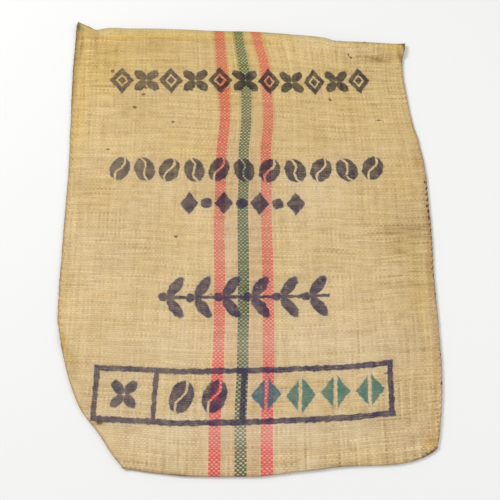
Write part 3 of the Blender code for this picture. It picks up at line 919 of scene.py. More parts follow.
class Net:
    """Builds a material's nodes from plain arithmetic."""

    def __init__(self, material):
        material.use_nodes = True
        self.tree = material.node_tree
        self.tree.nodes.clear()

    def new(self, kind, **settings):
        node = self.tree.nodes.new(kind)
        for key, value in settings.items():
            setattr(node, key, value)
        return node

    def put(self, socket, value):
        if isinstance(value, Value):
            self.tree.links.new(value.socket, socket)
        elif isinstance(value, bpy.types.NodeSocket):
            self.tree.links.new(value, socket)
        else:
            socket.default_value = value

    def math(self, operation, *values, clamp=False):
        node = self.new("ShaderNodeMath", operation=operation, use_clamp=clamp)
        for socket, value in zip(node.inputs, values):
            self.put(socket, value)
        return Value(self, node.outputs[0])

    def floor(self, a):
        return self.math("FLOOR", a)

    def fract(self, a):
        return self.math("FRACT", a)

    def abs(self, a):
        return self.math("ABSOLUTE", a)

    def sin(self, a):
        return self.math("SINE", a)

    def sqrt(self, a):
        return self.math("SQRT", a)

    def max(self, a, b):
        return self.math("MAXIMUM", a, b)

    def min(self, a, b):
        return self.math("MINIMUM", a, b)

    def clamp(self, a):
        return self.math("ADD", a, 0.0, clamp=True)

    def mix(self, a, b, t):
        node = self.new("ShaderNodeMix", data_type="FLOAT")
        self.put(node.inputs[0], t)
        self.put(node.inputs[2], a)
        self.put(node.inputs[3], b)
        return Value(self, node.outputs[0])

    def step(self, low, high, value):
        """0 up to low, 1 from high, soft between."""
        node = self.new("ShaderNodeMapRange", interpolation_type="SMOOTHSTEP")
        self.put(node.inputs[0], value)
        self.put(node.inputs[1], low)
        self.put(node.inputs[2], high)
        node.inputs[3].default_value, node.inputs[4].default_value = 0.0, 1.0
        return Value(self, node.outputs[0])

    def blend(self, a, b, t, kind="MIX"):
        """Mix of two colours, each a socket or an RGB triple."""
        node = self.new("ShaderNodeMix", data_type="RGBA", blend_type=kind)
        self.put(node.inputs[0], t)
        for socket, value in ((node.inputs[6], a), (node.inputs[7], b)):
            self.put(socket, (*value, 1.0) if isinstance(value, tuple) else value)
        return node.outputs[2]

    def vector(self, x, y, z=0.0):
        node = self.new("ShaderNodeCombineXYZ")
        for socket, value in zip(node.inputs, (x, y, z)):
            self.put(socket, value)
        return node.outputs[0]

    def noise(self, x, y, detail=0.0, rough=0.5):
        """Three smooth random values round 0.5 at each place."""
        node = self.new("ShaderNodeTexNoise", noise_dimensions="2D")
        self.put(node.inputs["Vector"], self.vector(x, y))
        node.inputs["Scale"].default_value = 1.0
        node.inputs["Detail"].default_value = detail
        node.inputs["Roughness"].default_value = rough
        split = self.new("ShaderNodeSeparateColor")
        self.put(split.inputs[0], node.outputs["Color"])
        return [Value(self, socket) for socket in split.outputs]

    def random(self, a):
        """A random value for each whole number."""
        node = self.new("ShaderNodeTexWhiteNoise", noise_dimensions="1D")
        self.put(node.inputs["W"], a)
        return Value(self, node.outputs[0])

    def coordinates(self, name):
        node = self.new("ShaderNodeUVMap", uv_map=name)
        split = self.new("ShaderNodeSeparateXYZ")
        self.put(split.inputs[0], node.outputs[0])
        return Value(self, split.outputs[0]), Value(self, split.outputs[1])


# ================================================================ the print: plain shapes, in the scale of a sack's marks
Row = namedtuple("Row", "motif start pitch count middle")
ROWS_OF_PRINT = [
    Row("lozenge", -0.2800, 0.0510, 11, 0.808),
    Row("bean", -0.2780, 0.0508, 11, 0.597),
    Row("drop", -0.1250, 0.0350, 7, 0.523),
    Row("sprig", -0.1640, 0.0540, 6, 0.327),
]
FRAME_LEFT, FRAME_RIGHT, FRAME_LOW, FRAME_HIGH = -0.278, 0.270, 0.0880, 0.1915
FRAME_LINE = 0.0105
DIVIDERS = (-0.160, 0.003)


def repeat(net, x, y, row):
    """Coordinates inside each motif of a row, its number, and 1 inside the row."""
    t = (x - row.start) / row.pitch
    k = net.floor(t)
    inside = net.abs(k - (row.count - 1) / 2) < row.count / 2
    return (t - k - 0.5) * row.pitch, y - row.middle, k, inside


def ellipse(net, x, y, rx, ry):
    """Rough signed distance to an ellipse, under 0 inside."""
    qx, qy = x / rx, y / ry
    return (net.sqrt(qx * qx + qy * qy) - 1.0) * min(rx, ry)


def lozenge(net, x, y, rx, ry):
    return (net.abs(x) / rx + net.abs(y) / ry - 1.0) * (1 / math.hypot(1 / rx, 1 / ry))


def bean(net, x, y, tilt, rx, ry):
    """An oval with a curved slit down its length. tilt is the tangent of its lean."""
    size = net.sqrt(tilt * tilt + 1.0)
    qx, qy = (x - y * tilt) / size, (y + x * tilt) / size
    oval = ellipse(net, qx, qy, rx, ry)
    slit = net.abs(qx - net.sin(qy * (math.pi / ry)) * (rx * 0.24)) - 0.0024
    return net.max(oval, 0.0 - slit)


def petals(net, x, y, size):
    ax, ay = net.abs(x), net.abs(y)
    p, q = (ax + ay) * 0.7071, (ay - ax) * 0.7071
    return ellipse(net, p - size * 0.54, q, size * 0.48, size * 0.30)


def printed(net, across, along):
    """Signed distances of the dark print and of the teal one, under 0 inside."""
    # the marks were rolled on straight, across picks that bow
    rise = net.step(0.06, 0.30, across) * ((along - 0.14) * 0.034 - 0.002)
    rise = rise + net.step(0.17, 0.29, across) * net.step(0.35, 0.20, along) * 0.0045
    along = along - rise + net.step(-0.03, -0.14, across) * 0.0055
    dark = None
    parts = []
    for row in ROWS_OF_PRINT:
        x, y, k, inside = repeat(net, across, along, row)
        odd = net.fract(k * 0.5) * 2.0
        if row.motif == "lozenge":
            outer = lozenge(net, x, y, 0.0250, 0.0325)
            ring = net.abs(outer + 0.0048) - 0.0048
            core = lozenge(net, x, y, 0.0080, 0.0105)
            shape = net.mix(net.min(ring, core), petals(net, x, y, 0.0330), odd)
        elif row.motif == "bean":
            shape = bean(net, x, y, 0.34 - odd * 0.68, 0.0205, 0.0268)
        elif row.motif == "drop":
            shape = net.mix(lozenge(net, x, y, 0.0185, 0.0250), ellipse(net, x, y, 0.0115, 0.0115), odd)
        else:
            ay = net.abs(y)
            p, q = (x - 0.006) * 0.60 + (ay - 0.0205) * 0.80, (ay - 0.0205) * 0.60 - (x - 0.006) * 0.80
            leaf = ellipse(net, p, q, 0.0240, 0.0104)
            stem = ay - 0.0032
            berry = ellipse(net, x + 0.018, y, 0.0088, 0.0088)
            shape = net.min(net.min(leaf, stem), berry)
        parts.append(net.max(shape, (0.5 - inside) * 0.1))
    # the ruled frame
    middle_x, middle_y = (FRAME_LEFT + FRAME_RIGHT) / 2, (FRAME_LOW + FRAME_HIGH) / 2
    out_x = net.abs(across - middle_x) - (FRAME_RIGHT - FRAME_LEFT) / 2
    out_y = net.abs(along - middle_y) - (FRAME_HIGH - FRAME_LOW) / 2
    box = net.max(out_x, out_y)
    ring = net.abs(box + FRAME_LINE / 2) - FRAME_LINE / 2
    bars = net.min(net.abs(across - DIVIDERS[0]), net.abs(across - DIVIDERS[1])) - FRAME_LINE * 0.46
    parts.append(net.min(ring, net.max(bars, box)))
    y = along - middle_y
    parts.append(petals(net, across + 0.2185, y, 0.0318))
    cell = across + 0.0785
    side = net.math("SIGN", cell)
    parts.append(bean(net, net.abs(cell) - 0.0310, y * side, net.math("ADD", 0.30, 0.0), 0.0225, 0.0300))
    for part in parts:
        dark = part if dark is None else net.min(dark, part)
    # stencilled lozenges with a bridge down the middle, not quite in line
    row = Row("stencil", 0.0125, 0.0615, 4, middle_y + 0.002)
    x, y, k, inside = repeat(net, across, along, row)
    drift = net.random(k + 5.0) - 0.5
    y = y + drift * 0.010
    big = 0.0310 + 0.0050 * net.random(k + 9.0)
    shape = (net.abs(x) / 0.0265 + net.abs(y) / big - 1.0) * 0.0195
    shape = net.max(shape, 0.0032 - net.abs(x + drift * 0.004))
    teal = net.max(shape, (0.5 - inside) * 0.1)
    return dark, teal


# ================================================================ sacking
# Bits of bark caught in the weave, and dark marks; three of them are painted shade in small creases.
Speck = namedtuple("Speck", "x y wide high")
SPECKS_AND_CREASE_SHADE = [
    Speck(-0.275, 0.347, 0.0080, 0.0070),
    Speck(-0.205, 0.306, 0.0100, 0.0050),
    Speck(-0.207, 0.290, 0.0085, 0.0050),
    Speck(-0.223, 0.258, 0.0095, 0.0065),
    Speck(-0.144, 0.223, 0.0070, 0.0045),
    Speck(0.175, 0.278, 0.0060, 0.0075),
    Speck(0.273, 0.227, 0.0130, 0.0042),
    Speck(-0.129, -0.032, 0.0065, 0.0042),
    # painted shade: a small hook in the crease at the upper right, and the pucker at the lower left
    Speck(0.2230, 0.3850, 0.0050, 0.0080),
    Speck(0.2190, 0.3915, 0.0045, 0.0080),
    Speck(-0.2500, -0.3885, 0.0085, 0.0090),
    Speck(-0.272, 0.160, 0.0080, 0.0036),
    Speck(-0.110, 0.300, 0.0070, 0.0028),
    Speck(0.240, 0.300, 0.0120, 0.0030),
    Speck(0.205, 0.100, 0.0070, 0.0030),
    Speck(-0.060, -0.150, 0.0060, 0.0030),
    Speck(0.255, -0.300, 0.0080, 0.0032),
]


# Warmer blotches, in the same way.
WARM = [
    Speck(-0.3380, 0.4600, 0.0230, 0.0130),
    Speck(-0.3180, 0.4500, 0.0160, 0.0080),
    Speck(0.2540, 0.4010, 0.0300, 0.0120),
    Speck(0.3440, 0.1350, 0.0110, 0.0200),
    Speck(0.3250, -0.4200, 0.0160, 0.0160),
    Speck(-0.2660, -0.1490, 0.0340, 0.0100),
    Speck(-0.3260, -0.2360, 0.0070, 0.0300),
]


def sacking(name, with_print):
    material = bpy.data.materials.new(name)
    net = Net(material)
    across, along = net.coordinates("Cloth")

    # the yarns wander: slow waves, and uneven spacing from one yarn to the next
    drift = net.noise(across * 6.5 + 3.1, along * 6.5, 1.0)
    uneven_ends = net.noise(across * 95.0, along * 2.6 + 5.0)[0]
    uneven_picks = net.noise(across * 3.4 + 9.0, along * 105.0)[0]
    a = across / WARP + 0.5 + (drift[0] - 0.5) * 1.1 + (uneven_ends - 0.5) * 0.40
    b = along / WEFT + (drift[1] - 0.5) * 2.4 + (uneven_picks - 0.5) * 0.80
    i, j = net.floor(a), net.floor(b)
    fa, fb = a - i, b - j
    s = 1.0 - net.fract((i + j) * 0.5) * 4.0  # 1 where the warp is on top, else -1

    pick = net.noise(across * 11.0, j * 3.17)
    end = net.noise(i * 3.17 + 0.5, along * 9.0)
    weft_wide = 0.80 + (pick[0] - 0.5) * 0.95
    warp_wide = 0.92 + (end[0] - 0.5) * 0.45
    strand = net.fract(fa * 2.0) - 0.5
    sa, sb = net.sin(fa * math.pi), net.sin(fb * math.pi)
    rw = strand * 2.0 / warp_wide
    rf = (fb - 0.5) * 2.0 / weft_wide
    warp_high = s * sb * 0.40 + (1.0 - rw * rw) * 0.42 + 0.10
    weft_high = 0.0 - s * sa * 0.40 + (1.0 - rf * rf) * 0.55
    middle = net.abs(i) < 2.5
    outer = net.abs(net.abs(i) - 11.0) < 2.5
    striped = net.max(middle, outer)
    bleed = net.step(0.55, 0.86, along)
    middle_edge = (net.abs(i) < 3.5) * bleed
    outer_edge = (net.abs(net.abs(i) - 11.0) < 3.5) * bleed
    warp_high = warp_high + striped * 0.16  # the dyed ends stand closer and cover more
    top = warp_high > weft_high
    high = net.max(warp_high, weft_high)

    # fibres, laid slightly twisted along whichever yarn is on top
    length = net.mix(across, along, top)
    over = net.mix(fb + j * 5.3, fa * 2.0 + i * 7.1, top)
    fibre = net.noise(length * 130.0 + over * 1.5, over * 6.0, 1.0)
    relief_high = net.max(high, -0.35) + (fibre[0] - 0.5) * 0.22

    # colour of each yarn
    patch = net.new("ShaderNodeAttribute", attribute_name="Tone", attribute_type="GEOMETRY")
    streak = Value(net, patch.outputs["Alpha"])
    thin_pick = net.noise(across * 16.0 + 4.0, b * 0.9, 1.0)[0] - 0.5  # darker along a pick, whichever yarn is on top
    bars = net.noise(across * 2.2 + 7.0, along * 2.2, 1.0)[1]  # where the ends show more
    low_down = net.step(0.30, 0.05, along)
    ends = (end[1] - 0.5) * (0.28 + net.step(0.45, 0.75, bars) * 0.42 + low_down * 0.14)
    picks = (pick[1] - 0.5) * (streak * 0.45 + 0.70)
    tone = net.mix(picks, ends, top) + ends * 0.25 + thin_pick * (streak * 0.95 + 0.18) - streak * 0.06
    own = net.mix(net.random(j), net.random(i + 300.0), top)
    straw = 0.53 + tone + (fibre[1] - 0.5) * 0.80 + (own - 0.5) * 0.20
    ramp = net.new("ShaderNodeValToRGB")
    net.put(ramp.inputs[0], straw)
    stops = ramp.color_ramp.elements
    stops[0].position, stops[0].color = 0.0, (0.42, 0.255, 0.100, 1.0)
    stops[1].position, stops[1].color = 1.0, (0.86, 0.68, 0.41, 1.0)
    for place, colour in ((0.30, (0.645, 0.450, 0.215, 1.0)), (0.62, (0.770, 0.575, 0.305, 1.0))):
        stops.new(place).color = colour
    yarn = ramp.outputs[0]

    cloudy = net.noise(across * 42.0, along * 60.0, 2.0, 0.6)
    # two layers at the hem: closer, lighter and yellower, with a warm line where they end
    left_part = net.step(0.16, 0.02, across) * 0.75 + 0.25
    band = net.step(LONG - 0.0170, LONG - 0.0135, along) * left_part
    yarn = net.blend(yarn, (0.82, 0.61, 0.24), band * 0.42)
    line = net.step(0.0064, 0.0016, net.abs(along - (LONG - 0.0205) - (cloudy[1] - 0.5) * 0.006)) * left_part
    yarn = net.blend(yarn, (0.92, 0.75, 0.66), line * 0.48, "MULTIPLY")
    line = net.step(0.0042, 0.0008, net.abs(along - (LONG - 0.0118) - (cloudy[1] - 0.5) * 0.004)) * left_part
    yarn = net.blend(yarn, (0.90, 0.58, 0.24), line * 0.36)
    # the lip itself is rubbed and grey
    lip = net.step(LONG - 0.0075, LONG - 0.0025, along)
    yarn = net.blend(yarn, (0.82, 0.90, 1.22), lip * 0.9, "MULTIPLY")
    # beside the right seam a warm darker line of painted shade follows the seam, and the edge is greyer
    inset = WIDE - across
    seam = net.step(0.56, 0.46, along) * net.step(0.0, 0.05, along)
    place = 0.0125 + net.step(0.15, 0.07, along) * 0.0100 - net.step(0.28, 0.34, along) * 0.0050
    place = place - net.step(0.38, 0.46, along) * 0.0030
    seam_line_shade = net.step(0.0056, 0.0024, net.abs(inset - place + (cloudy[2] - 0.5) * 0.0028)) * seam
    faint = net.step(0.20, 0.23, along) * net.step(0.34, 0.31, along)
    yarn = net.blend(yarn, (0.87, 0.79, 0.64), seam_line_shade * (0.95 - faint * 0.95), "MULTIPLY")
    rim = net.step(0.0096, 0.0040, inset + (cloudy[1] - 0.5) * 0.003) * net.step(0.66, 0.58, along) * net.step(0.10, 0.16, along)
    rim = rim * (0.52 - faint * 0.20 + net.step(0.46, 0.51, along) * net.step(0.60, 0.56, along) * 0.30)
    yarn = net.blend(yarn, (0.70, 0.65, 0.66), rim, "MULTIPLY")
    # warm blotches
    warm = None
    for speck in WARM:
        sx, sy = front_cloth(np.array([speck.x]), np.array([speck.y]), 0.0)
        spot = ellipse(net, across - float(sx[0]), along - float(sy[0]), speck.wide / 2, speck.high / 2)
        warm = spot if warm is None else net.min(warm, spot)
    warm = net.step(0.0030, -0.0040, warm + (cloudy[2] - 0.5) * 0.006)
    yarn = net.blend(yarn, (1.0, 0.76, 0.50), warm * (0.6 if with_print else 0.0), "MULTIPLY")

    # the three stripes are dyed warp ends
    wear = net.step(0.12, 0.50, along)  # the red is washed paler towards the mouth
    red = net.blend((0.90, 0.046, 0.088), (0.76, 0.090, 0.082), wear)
    green = (0.012, 0.112, 0.060)
    washed = net.step(0.14, 0.30, along) * net.step(0.62, 0.48, along)
    dyed = 0.94 - wear * 0.05 - (fibre[1] - 0.5) * 0.40
    red_dyed = dyed - washed * 0.10
    crisp = net.step(0.17, 0.08, along)  # near the fold the green has bled least
    picked = 0.33 - washed * 0.05 + net.step(0.78, 0.96, along) * 0.14  # what has bled into the picks
    yarn = net.blend(yarn, red, net.max(outer * net.mix(picked, red_dyed, top), outer_edge * 0.34))
    yarn = net.blend(yarn, green, net.max(middle * net.mix(0.26 + washed * 0.16 - crisp * 0.15, dyed, top), middle_edge * 0.30))
    near = net.step(STRIPE * 1.45, STRIPE * 1.1, net.abs(across))
    tint = net.blend((0.95, 0.89, 0.96), (0.93, 0.93, 0.80), net.step(0.55, 0.92, along))
    tint = net.blend(tint, (0.91, 0.855, 0.915), net.step(0.36, 0.44, along) * net.step(0.68, 0.58, along))
    yarn = net.blend(yarn, tint, near * 0.85, "MULTIPLY")

    # tones of the whole cloth
    parts = net.new("ShaderNodeSeparateColor")
    net.put(parts.inputs[0], patch.outputs["Color"])
    soil_and_shade, gold, pale_and_lit = (Value(net, socket) for socket in parts.outputs)
    yarn = net.blend(yarn, (0.968, 0.917, 0.60), net.clamp(gold), "MULTIPLY")
    # lighter where rubbed, and painted light on a few ridges and along the bottom fold
    yarn = net.blend(yarn, (0.90, 0.78, 0.60), pale_and_lit * 0.45)
    # darker with stains, and painted shade along turned edges, the bottom fold and creases
    stain_and_shade_colour = net.blend((0.37, 0.275, 0.17), (0.34, 0.30, 0.17), net.clamp(gold))
    yarn = net.blend(yarn, stain_and_shade_colour, net.clamp(soil_and_shade * (0.55 + cloudy[0] * 0.9)), "MULTIPLY")
    yarn = net.blend(yarn, (0.80, 0.76, 0.68), net.step(0.52, 0.78, cloudy[1]) * 0.5, "MULTIPLY")

    clot = net.noise(across * 62.0 + 2.0, along * 74.0, 1.0, 0.5)
    yarn = net.blend(yarn, (0.845, 0.825, 0.79), net.clamp(0.5 + (clot[0] - 0.5) * 2.2) * 0.40, "MULTIPLY")
    yarn = net.blend(yarn, (1.0, 0.965, 0.86), net.clamp(0.5 + (clot[1] - 0.5) * 2.2) * 0.40, "MULTIPLY")
    yarn = net.blend(yarn, (1.030, 1.042, 1.080), 1.0, "MULTIPLY")

    # open gaps between the yarns, dark with painted shade where the yarns sink
    depth = net.step(-0.30, 0.40, high)
    colour = net.blend((0.25, 0.155, 0.068), yarn, depth)

    if with_print:
        rough = net.noise(across * 95.0, along * 95.0, 1.5, 0.6)
        ux = across + (rough[0] - 0.5) * 0.0054
        uy = along + (rough[1] - 0.5) * 0.0054
        dark, teal = printed(net, ux, uy)
        take = net.step(-0.12, 0.34, high + (rough[2] - 0.5) * 0.55 + (own - 0.5) * 0.35 + (fibre[1] - 0.5) * 0.9)
        worn = 0.94 + (cloudy[2] - 0.5) * 0.36 + (clot[2] - 0.5) * 0.20
        worn = worn - net.step(-0.02, -0.22, across) * (0.065 + net.step(0.25, 0.70, along) * 0.070)
        worn = worn + net.step(0.20, 0.26, across) * net.step(0.30, 0.22, along) * 0.04
        halo = net.step(0.0105, 0.0008, net.min(dark, teal))
        colour = net.blend(colour, (0.93, 0.975, 1.12), halo * 0.7, "MULTIPLY")
        dark_ink = net.step(0.0014, -0.0012, dark) * take * worn
        teal_ink = net.step(0.0014, -0.0012, teal) * take * worn
        teal_dye = net.blend((0.007, 0.108, 0.158), (0.015, 0.154, 0.130), net.step(0.03, 0.12, across))
        colour = net.blend(colour, teal_dye, net.clamp(teal_ink) * 0.90)
        ink = net.blend((0.036, 0.024, 0.064), (0.024, 0.013, 0.014), net.step(0.36, 0.80, along))
        colour = net.blend(colour, ink, net.clamp(dark_ink) * 0.955)
        # dark specks, three of them painted shade in small creases
        specks_and_crease_shade = None
        for speck in SPECKS_AND_CREASE_SHADE:
            sx, sy = front_cloth(np.array([speck.x]), np.array([speck.y]), 0.010)
            spot = ellipse(net, ux - float(sx[0]), uy - float(sy[0]), speck.wide / 2, speck.high / 2)
            specks_and_crease_shade = spot if specks_and_crease_shade is None else net.min(specks_and_crease_shade, spot)
        specks_and_crease_shade = net.step(0.0012, -0.0010, specks_and_crease_shade + (rough[2] - 0.5) * 0.0030)
        colour = net.blend(colour, (0.100, 0.055, 0.022), specks_and_crease_shade * 0.78)

    shader = net.new("ShaderNodeBsdfPrincipled")
    net.put(shader.inputs["Base Color"], colour)
    net.put(shader.inputs["Roughness"], 0.84 + fibre[2] * 0.16)
    shader.inputs["Specular IOR Level"].default_value = 0.22
    shader.inputs["Sheen Weight"].default_value = 0.10
    shader.inputs["Sheen Roughness"].default_value = 0.6
    bump = net.new("ShaderNodeBump")
    bump.inputs["Strength"].default_value = 0.85
    bump.inputs["Distance"].default_value = 0.0011
    net.put(bump.inputs["Height"], relief_high)
    net.put(shader.inputs["Normal"], bump.outputs[0])
    output = net.new("ShaderNodeOutputMaterial")
    net.put(output.inputs[0], shader.outputs[0])
    return material


mesh.materials.append(sacking("jute_sacking", True))
mesh.materials.append(sacking("jute_sacking_inside", False))


# ================================================================ twine and fibres
def twine_material(name, dark, light):
    """Two-ply twine: u runs along the thread in metres, v once round it."""
    material = bpy.data.materials.new(name)
    net = Net(material)
    u, v = net.coordinates("Thread")
    ply = net.sin((u * 330.0 + v * 2.0) * math.pi)
    grain = net.noise(u * 900.0, v * 7.0, 1.0)
    t = net.clamp(0.45 + ply * 0.22 + (grain[0] - 0.5) * 1.1)
    shader = net.new("ShaderNodeBsdfPrincipled")
    net.put(shader.inputs["Base Color"], net.blend(dark, light, t))
    net.put(shader.inputs["Roughness"], 0.86 + grain[1] * 0.12)
    shader.inputs["Specular IOR Level"].default_value = 0.2
    bump = net.new("ShaderNodeBump")
    bump.inputs["Strength"].default_value = 0.8
    bump.inputs["Distance"].default_value = 0.0004
    net.put(bump.inputs["Height"], ply + grain[0] * 0.5)
    net.put(shader.inputs["Normal"], bump.outputs[0])
    output = net.new("ShaderNodeOutputMaterial")
    net.put(output.inputs[0], shader.outputs[0])
    return material


class Threads:
    """Many thin tubes gathered into one mesh."""

    def __init__(self):
        self.points, self.faces, self.uvs = [], [], []

    def add(self, line, radius, sides, taper=False):
        line = [Vector(p) for p in line]
        start, count = len(self.points), len(line)
        run, rings = 0.0, []
        normal = None
        for k, p in enumerate(line):
            ahead = line[min(k + 1, count - 1)] - line[max(k - 1, 0)]
            ahead.normalize()
            if normal is None:
                normal = ahead.orthogonal().normalized()
            normal = (normal - ahead * normal.dot(ahead)).normalized()
            third = ahead.cross(normal)
            if k:
                run += (p - line[k - 1]).length
            r = radius * (1 - 0.75 * k / (count - 1)) if taper else radius
            for q in range(sides):
                turn = 2 * math.pi * q / sides
                self.points.append(p + normal * (r * math.cos(turn)) + third * (r * math.sin(turn)))
            rings.append(run)
        for k in range(count - 1):
            for q in range(sides):
                a, b = start + k * sides + q, start + k * sides + (q + 1) % sides
                self.faces.append((a, b, b + sides, a + sides))
                self.uvs += [
                    (rings[k], q / sides),
                    (rings[k], (q + 1) / sides),
                    (rings[k + 1], (q + 1) / sides),
                    (rings[k + 1], q / sides),
                ]
        for ring, base in ((0, start), (count - 1, start + (count - 1) * sides)):
            order = range(sides)
            self.faces.append(tuple(base + q for q in (reversed(order) if ring == 0 else order)))
            self.uvs += [(rings[ring], q / sides) for q in order]

    def build(self, name, material):
        mesh = bpy.data.meshes.new(name)
        mesh.from_pydata([tuple(p) for p in self.points], [], self.faces)
        layer = mesh.uv_layers.new(name="Thread")
        layer.data.foreach_set("uv", np.array(self.uvs, np.float32).ravel())
        mesh.shade_smooth()
        mesh.materials.append(material)
        obj = bpy.data.objects.new(name, mesh)
        bpy.context.scene.collection.objects.link(obj)
        return obj


depsgraph = bpy.context.evaluated_depsgraph_get()
depsgraph.update()
surface = BVHTree.FromObject(sack, depsgraph)


def on_top(x, y):
    """The highest point of the cloth at a place, and its normal."""
    hit = surface.ray_cast(Vector((x, y, 0.2)), Vector((0, 0, -1)))
    return (hit[0], hit[1]) if hit[0] is not None else (None, None)


def underneath(x, y):
    hit = surface.ray_cast(Vector((x, y, -0.2)), Vector((0, 0, 1)))
    return hit[0] if hit[0] is not None else None


def wander(k, seed):
    """A random number between -1 and 1 for each k, the same each run."""
    return noise.cell(Vector((k * 1.37 + seed, seed * 2.1, 0.5))) * 2 - 1


natural = twine_material("twine_natural", (0.38, 0.25, 0.11), (0.74, 0.57, 0.33))
dark_twine = twine_material("twine_dark", (0.05, 0.035, 0.03), (0.16, 0.11, 0.09))
STITCH = 0.0142
TWINE = 0.00065
DARK_TWINE = 0.00060
HOLE = 0.0080  # from the edge to the needle holes
DARK_HOLE = 0.0040


def side_point(side, v, inset):
    """A place that far in from a side, at share v of the way up."""
    width = float(width_at(v))
    share = inset / width
    x, y = plan(share if side == "left" else 1 - share, v)
    return float(x), float(y)


def overcast(side, first, last, dark_from, dark_to, seed):
    """Overcast stitches along one side, from share first to share last of the way up."""
    plain, dyed = Threads(), Threads()
    count = int((last - first) * LENGTH / STITCH)
    for k in range(count):
        v0 = first + (k + 0.10 * wander(k, seed)) * STITCH / LENGTH
        v1 = first + (k + 1 + 0.10 * wander(k + 1, seed)) * STITCH / LENGTH
        is_dark = dark_from <= side_point(side, v0, HOLE)[1] <= dark_to
        hole, radius = (DARK_HOLE, DARK_TWINE) if is_dark else (HOLE, TWINE)
        hole_in = hole * (1 + 0.16 * wander(k, seed + 5))
        next_in = hole * (1 + 0.16 * wander(k + 1, seed + 5))
        line = []
        lean = mix(v0, v1, 0.45)
        for t in (0.0, 0.34, 0.68, 0.92):
            x, y = side_point(side, mix(v0, lean, t), mix(hole_in, 0.0004, t))
            top, _ = on_top(x, y)
            if top is None:
                continue
            line.append((x, y, top.z + (-0.0006 if t == 0.0 else radius * 0.55)))
        if len(line) < 3:
            continue
        x, y = side_point(side, lean, -0.0008)
        edge_z = line[-1][2]
        line.append((x, y, max(edge_z - 0.0012, 0.0012)))
        for t in (0.10, 0.50, 1.0):
            x, y = side_point(side, mix(lean, v1, t), mix(0.0004, next_in, t))
            low = underneath(x, y)
            if low is None:
                continue
            line.append((x, y, max(low.z - radius * 0.35, radius * 1.2) if t < 1.0 else low.z + 0.0009))
        (dyed if is_dark else plain).add(line, radius * (1 + 0.14 * wander(k, seed + 9)), 6)
    return plain, dyed


left_plain, _ = overcast("left", (TUCK_TIP[1] + 0.466) / 0.944 + 0.012, 0.992, 9, 9, 3.3)
right_plain, right_dark = overcast("right", 0.004, 0.994, -0.118, 0.092, 7.1)

# thick knots of the dark thread, where it was tied off along the right side
knots = Threads()
KNOTS = [0.0887, 0.0735, 0.0610, 0.0490, 0.0360, 0.0250, 0.0121, -0.1470, -0.2640, -0.3170]
for k, y0 in enumerate(KNOTS):
    inset = (0.0042 if y0 > 0 else 0.0014) + 0.0006 * wander(k, 4.4)
    line = []
    for t in (-1.0, -0.6, 0.0, 0.6, 1.0):
        y = y0 + t * 0.0024
        x = float(right_x(y)) - inset + 0.0005 * t
        top, _ = on_top(x, y)
        if top is not None:
            line.append((x, y, top.z + (-0.0005 if abs(t) == 1.0 else 0.0004)))
    if len(line) == 5:
        knots.add(line, 0.00125 * (1 + 0.18 * wander(k, 8.8)), 8)


def joined(*groups):
    whole = Threads()
    for group in groups:
        base = len(whole.points)
        whole.points += group.points
        whole.faces += [tuple(base + k for k in face) for face in group.faces]
        whole.uvs += group.uvs
    return whole


# the tucked corner's own selvedge, seen from below
under = Threads()
steps = int(math.dist(TUCK_CORNER, TUCK_TIP) / STITCH)
for k in range(1, steps):
    t = k / steps
    ex, ey = mix(TUCK_CORNER[0], TUCK_TIP[0], t), mix(TUCK_CORNER[1], TUCK_TIP[1], t)
    dx, dy = (TUCK_TIP[0] - TUCK_CORNER[0]), (TUCK_TIP[1] - TUCK_CORNER[1])
    size = math.hypot(dx, dy)
    dx, dy = dx / size, dy / size
    nx, ny = -dy, dx  # into the flap
    line = []
    for inset, slide, z in ((0.0080, 0.0, 0.0014), (0.0045, 0.003, 0.0009), (0.0008, 0.005, 0.0009), (-0.0009, 0.006, 0.0022)):
        line.append((ex + nx * inset + dx * slide, ey + ny * inset + dy * slide, z))
    under.add(line, TWINE * 0.9, 6)

# a few dark stitches over the lower right corner, and dark ends at the mouth
mends = Threads()
for k, (x0, y0) in enumerate([(0.3075, -0.4430), (0.3150, -0.4395), (0.3225, -0.4350), (0.3285, -0.4295)]):
    heading = math.radians(-62 + 9 * k)
    line = []
    for t in (0.0, 0.25, 0.5, 0.75, 1.0):
        x, y = x0 + math.cos(heading) * 0.0056 * t, y0 + math.sin(heading) * 0.0056 * t + 0.0004 * wander(k, 3.1)
        top, _ = on_top(x, y)
        if top is not None:
            line.append((x, y, top.z + (-0.0005 if t in (0.0, 1.0) else 0.0003)))
    if len(line) > 2:
        mends.add(line, 0.00072 * (1 + 0.2 * wander(k, 5.9)), 6)
Tuft = namedtuple("Tuft", "x y heading length")
TUFTS = [
    Tuft(0.199, 0.4190, 10, 0.009),
    Tuft(0.2500, 0.4170, 5, 0.007),
    Tuft(0.2570, 0.4172, 172, 0.006),
]
for k, tuft in enumerate(TUFTS):
    for strand in range(6):
        spread = wander(k * 7 + strand, 12.6)
        turn = math.radians(tuft.heading + 26 * spread)
        length = tuft.length * (0.85 + 0.35 * wander(k * 7 + strand, 15.2))
        line = []
        for t in (0.0, 0.35, 0.7, 1.0):
            x = tuft.x + math.cos(turn) * length * t + 0.0005 * spread
            y = tuft.y + math.sin(turn) * length * t + 0.0008 * math.sin(t * 5 + k + strand)
            top, _ = on_top(x, y)
            if top is not None:
                line.append((x, y, top.z + 0.0001 + 0.0009 * (1 + 0.5 * spread) * math.sin(t * 3.0)))
        if len(line) > 2:
            mends.add(line, 0.00030, 5, taper=True)

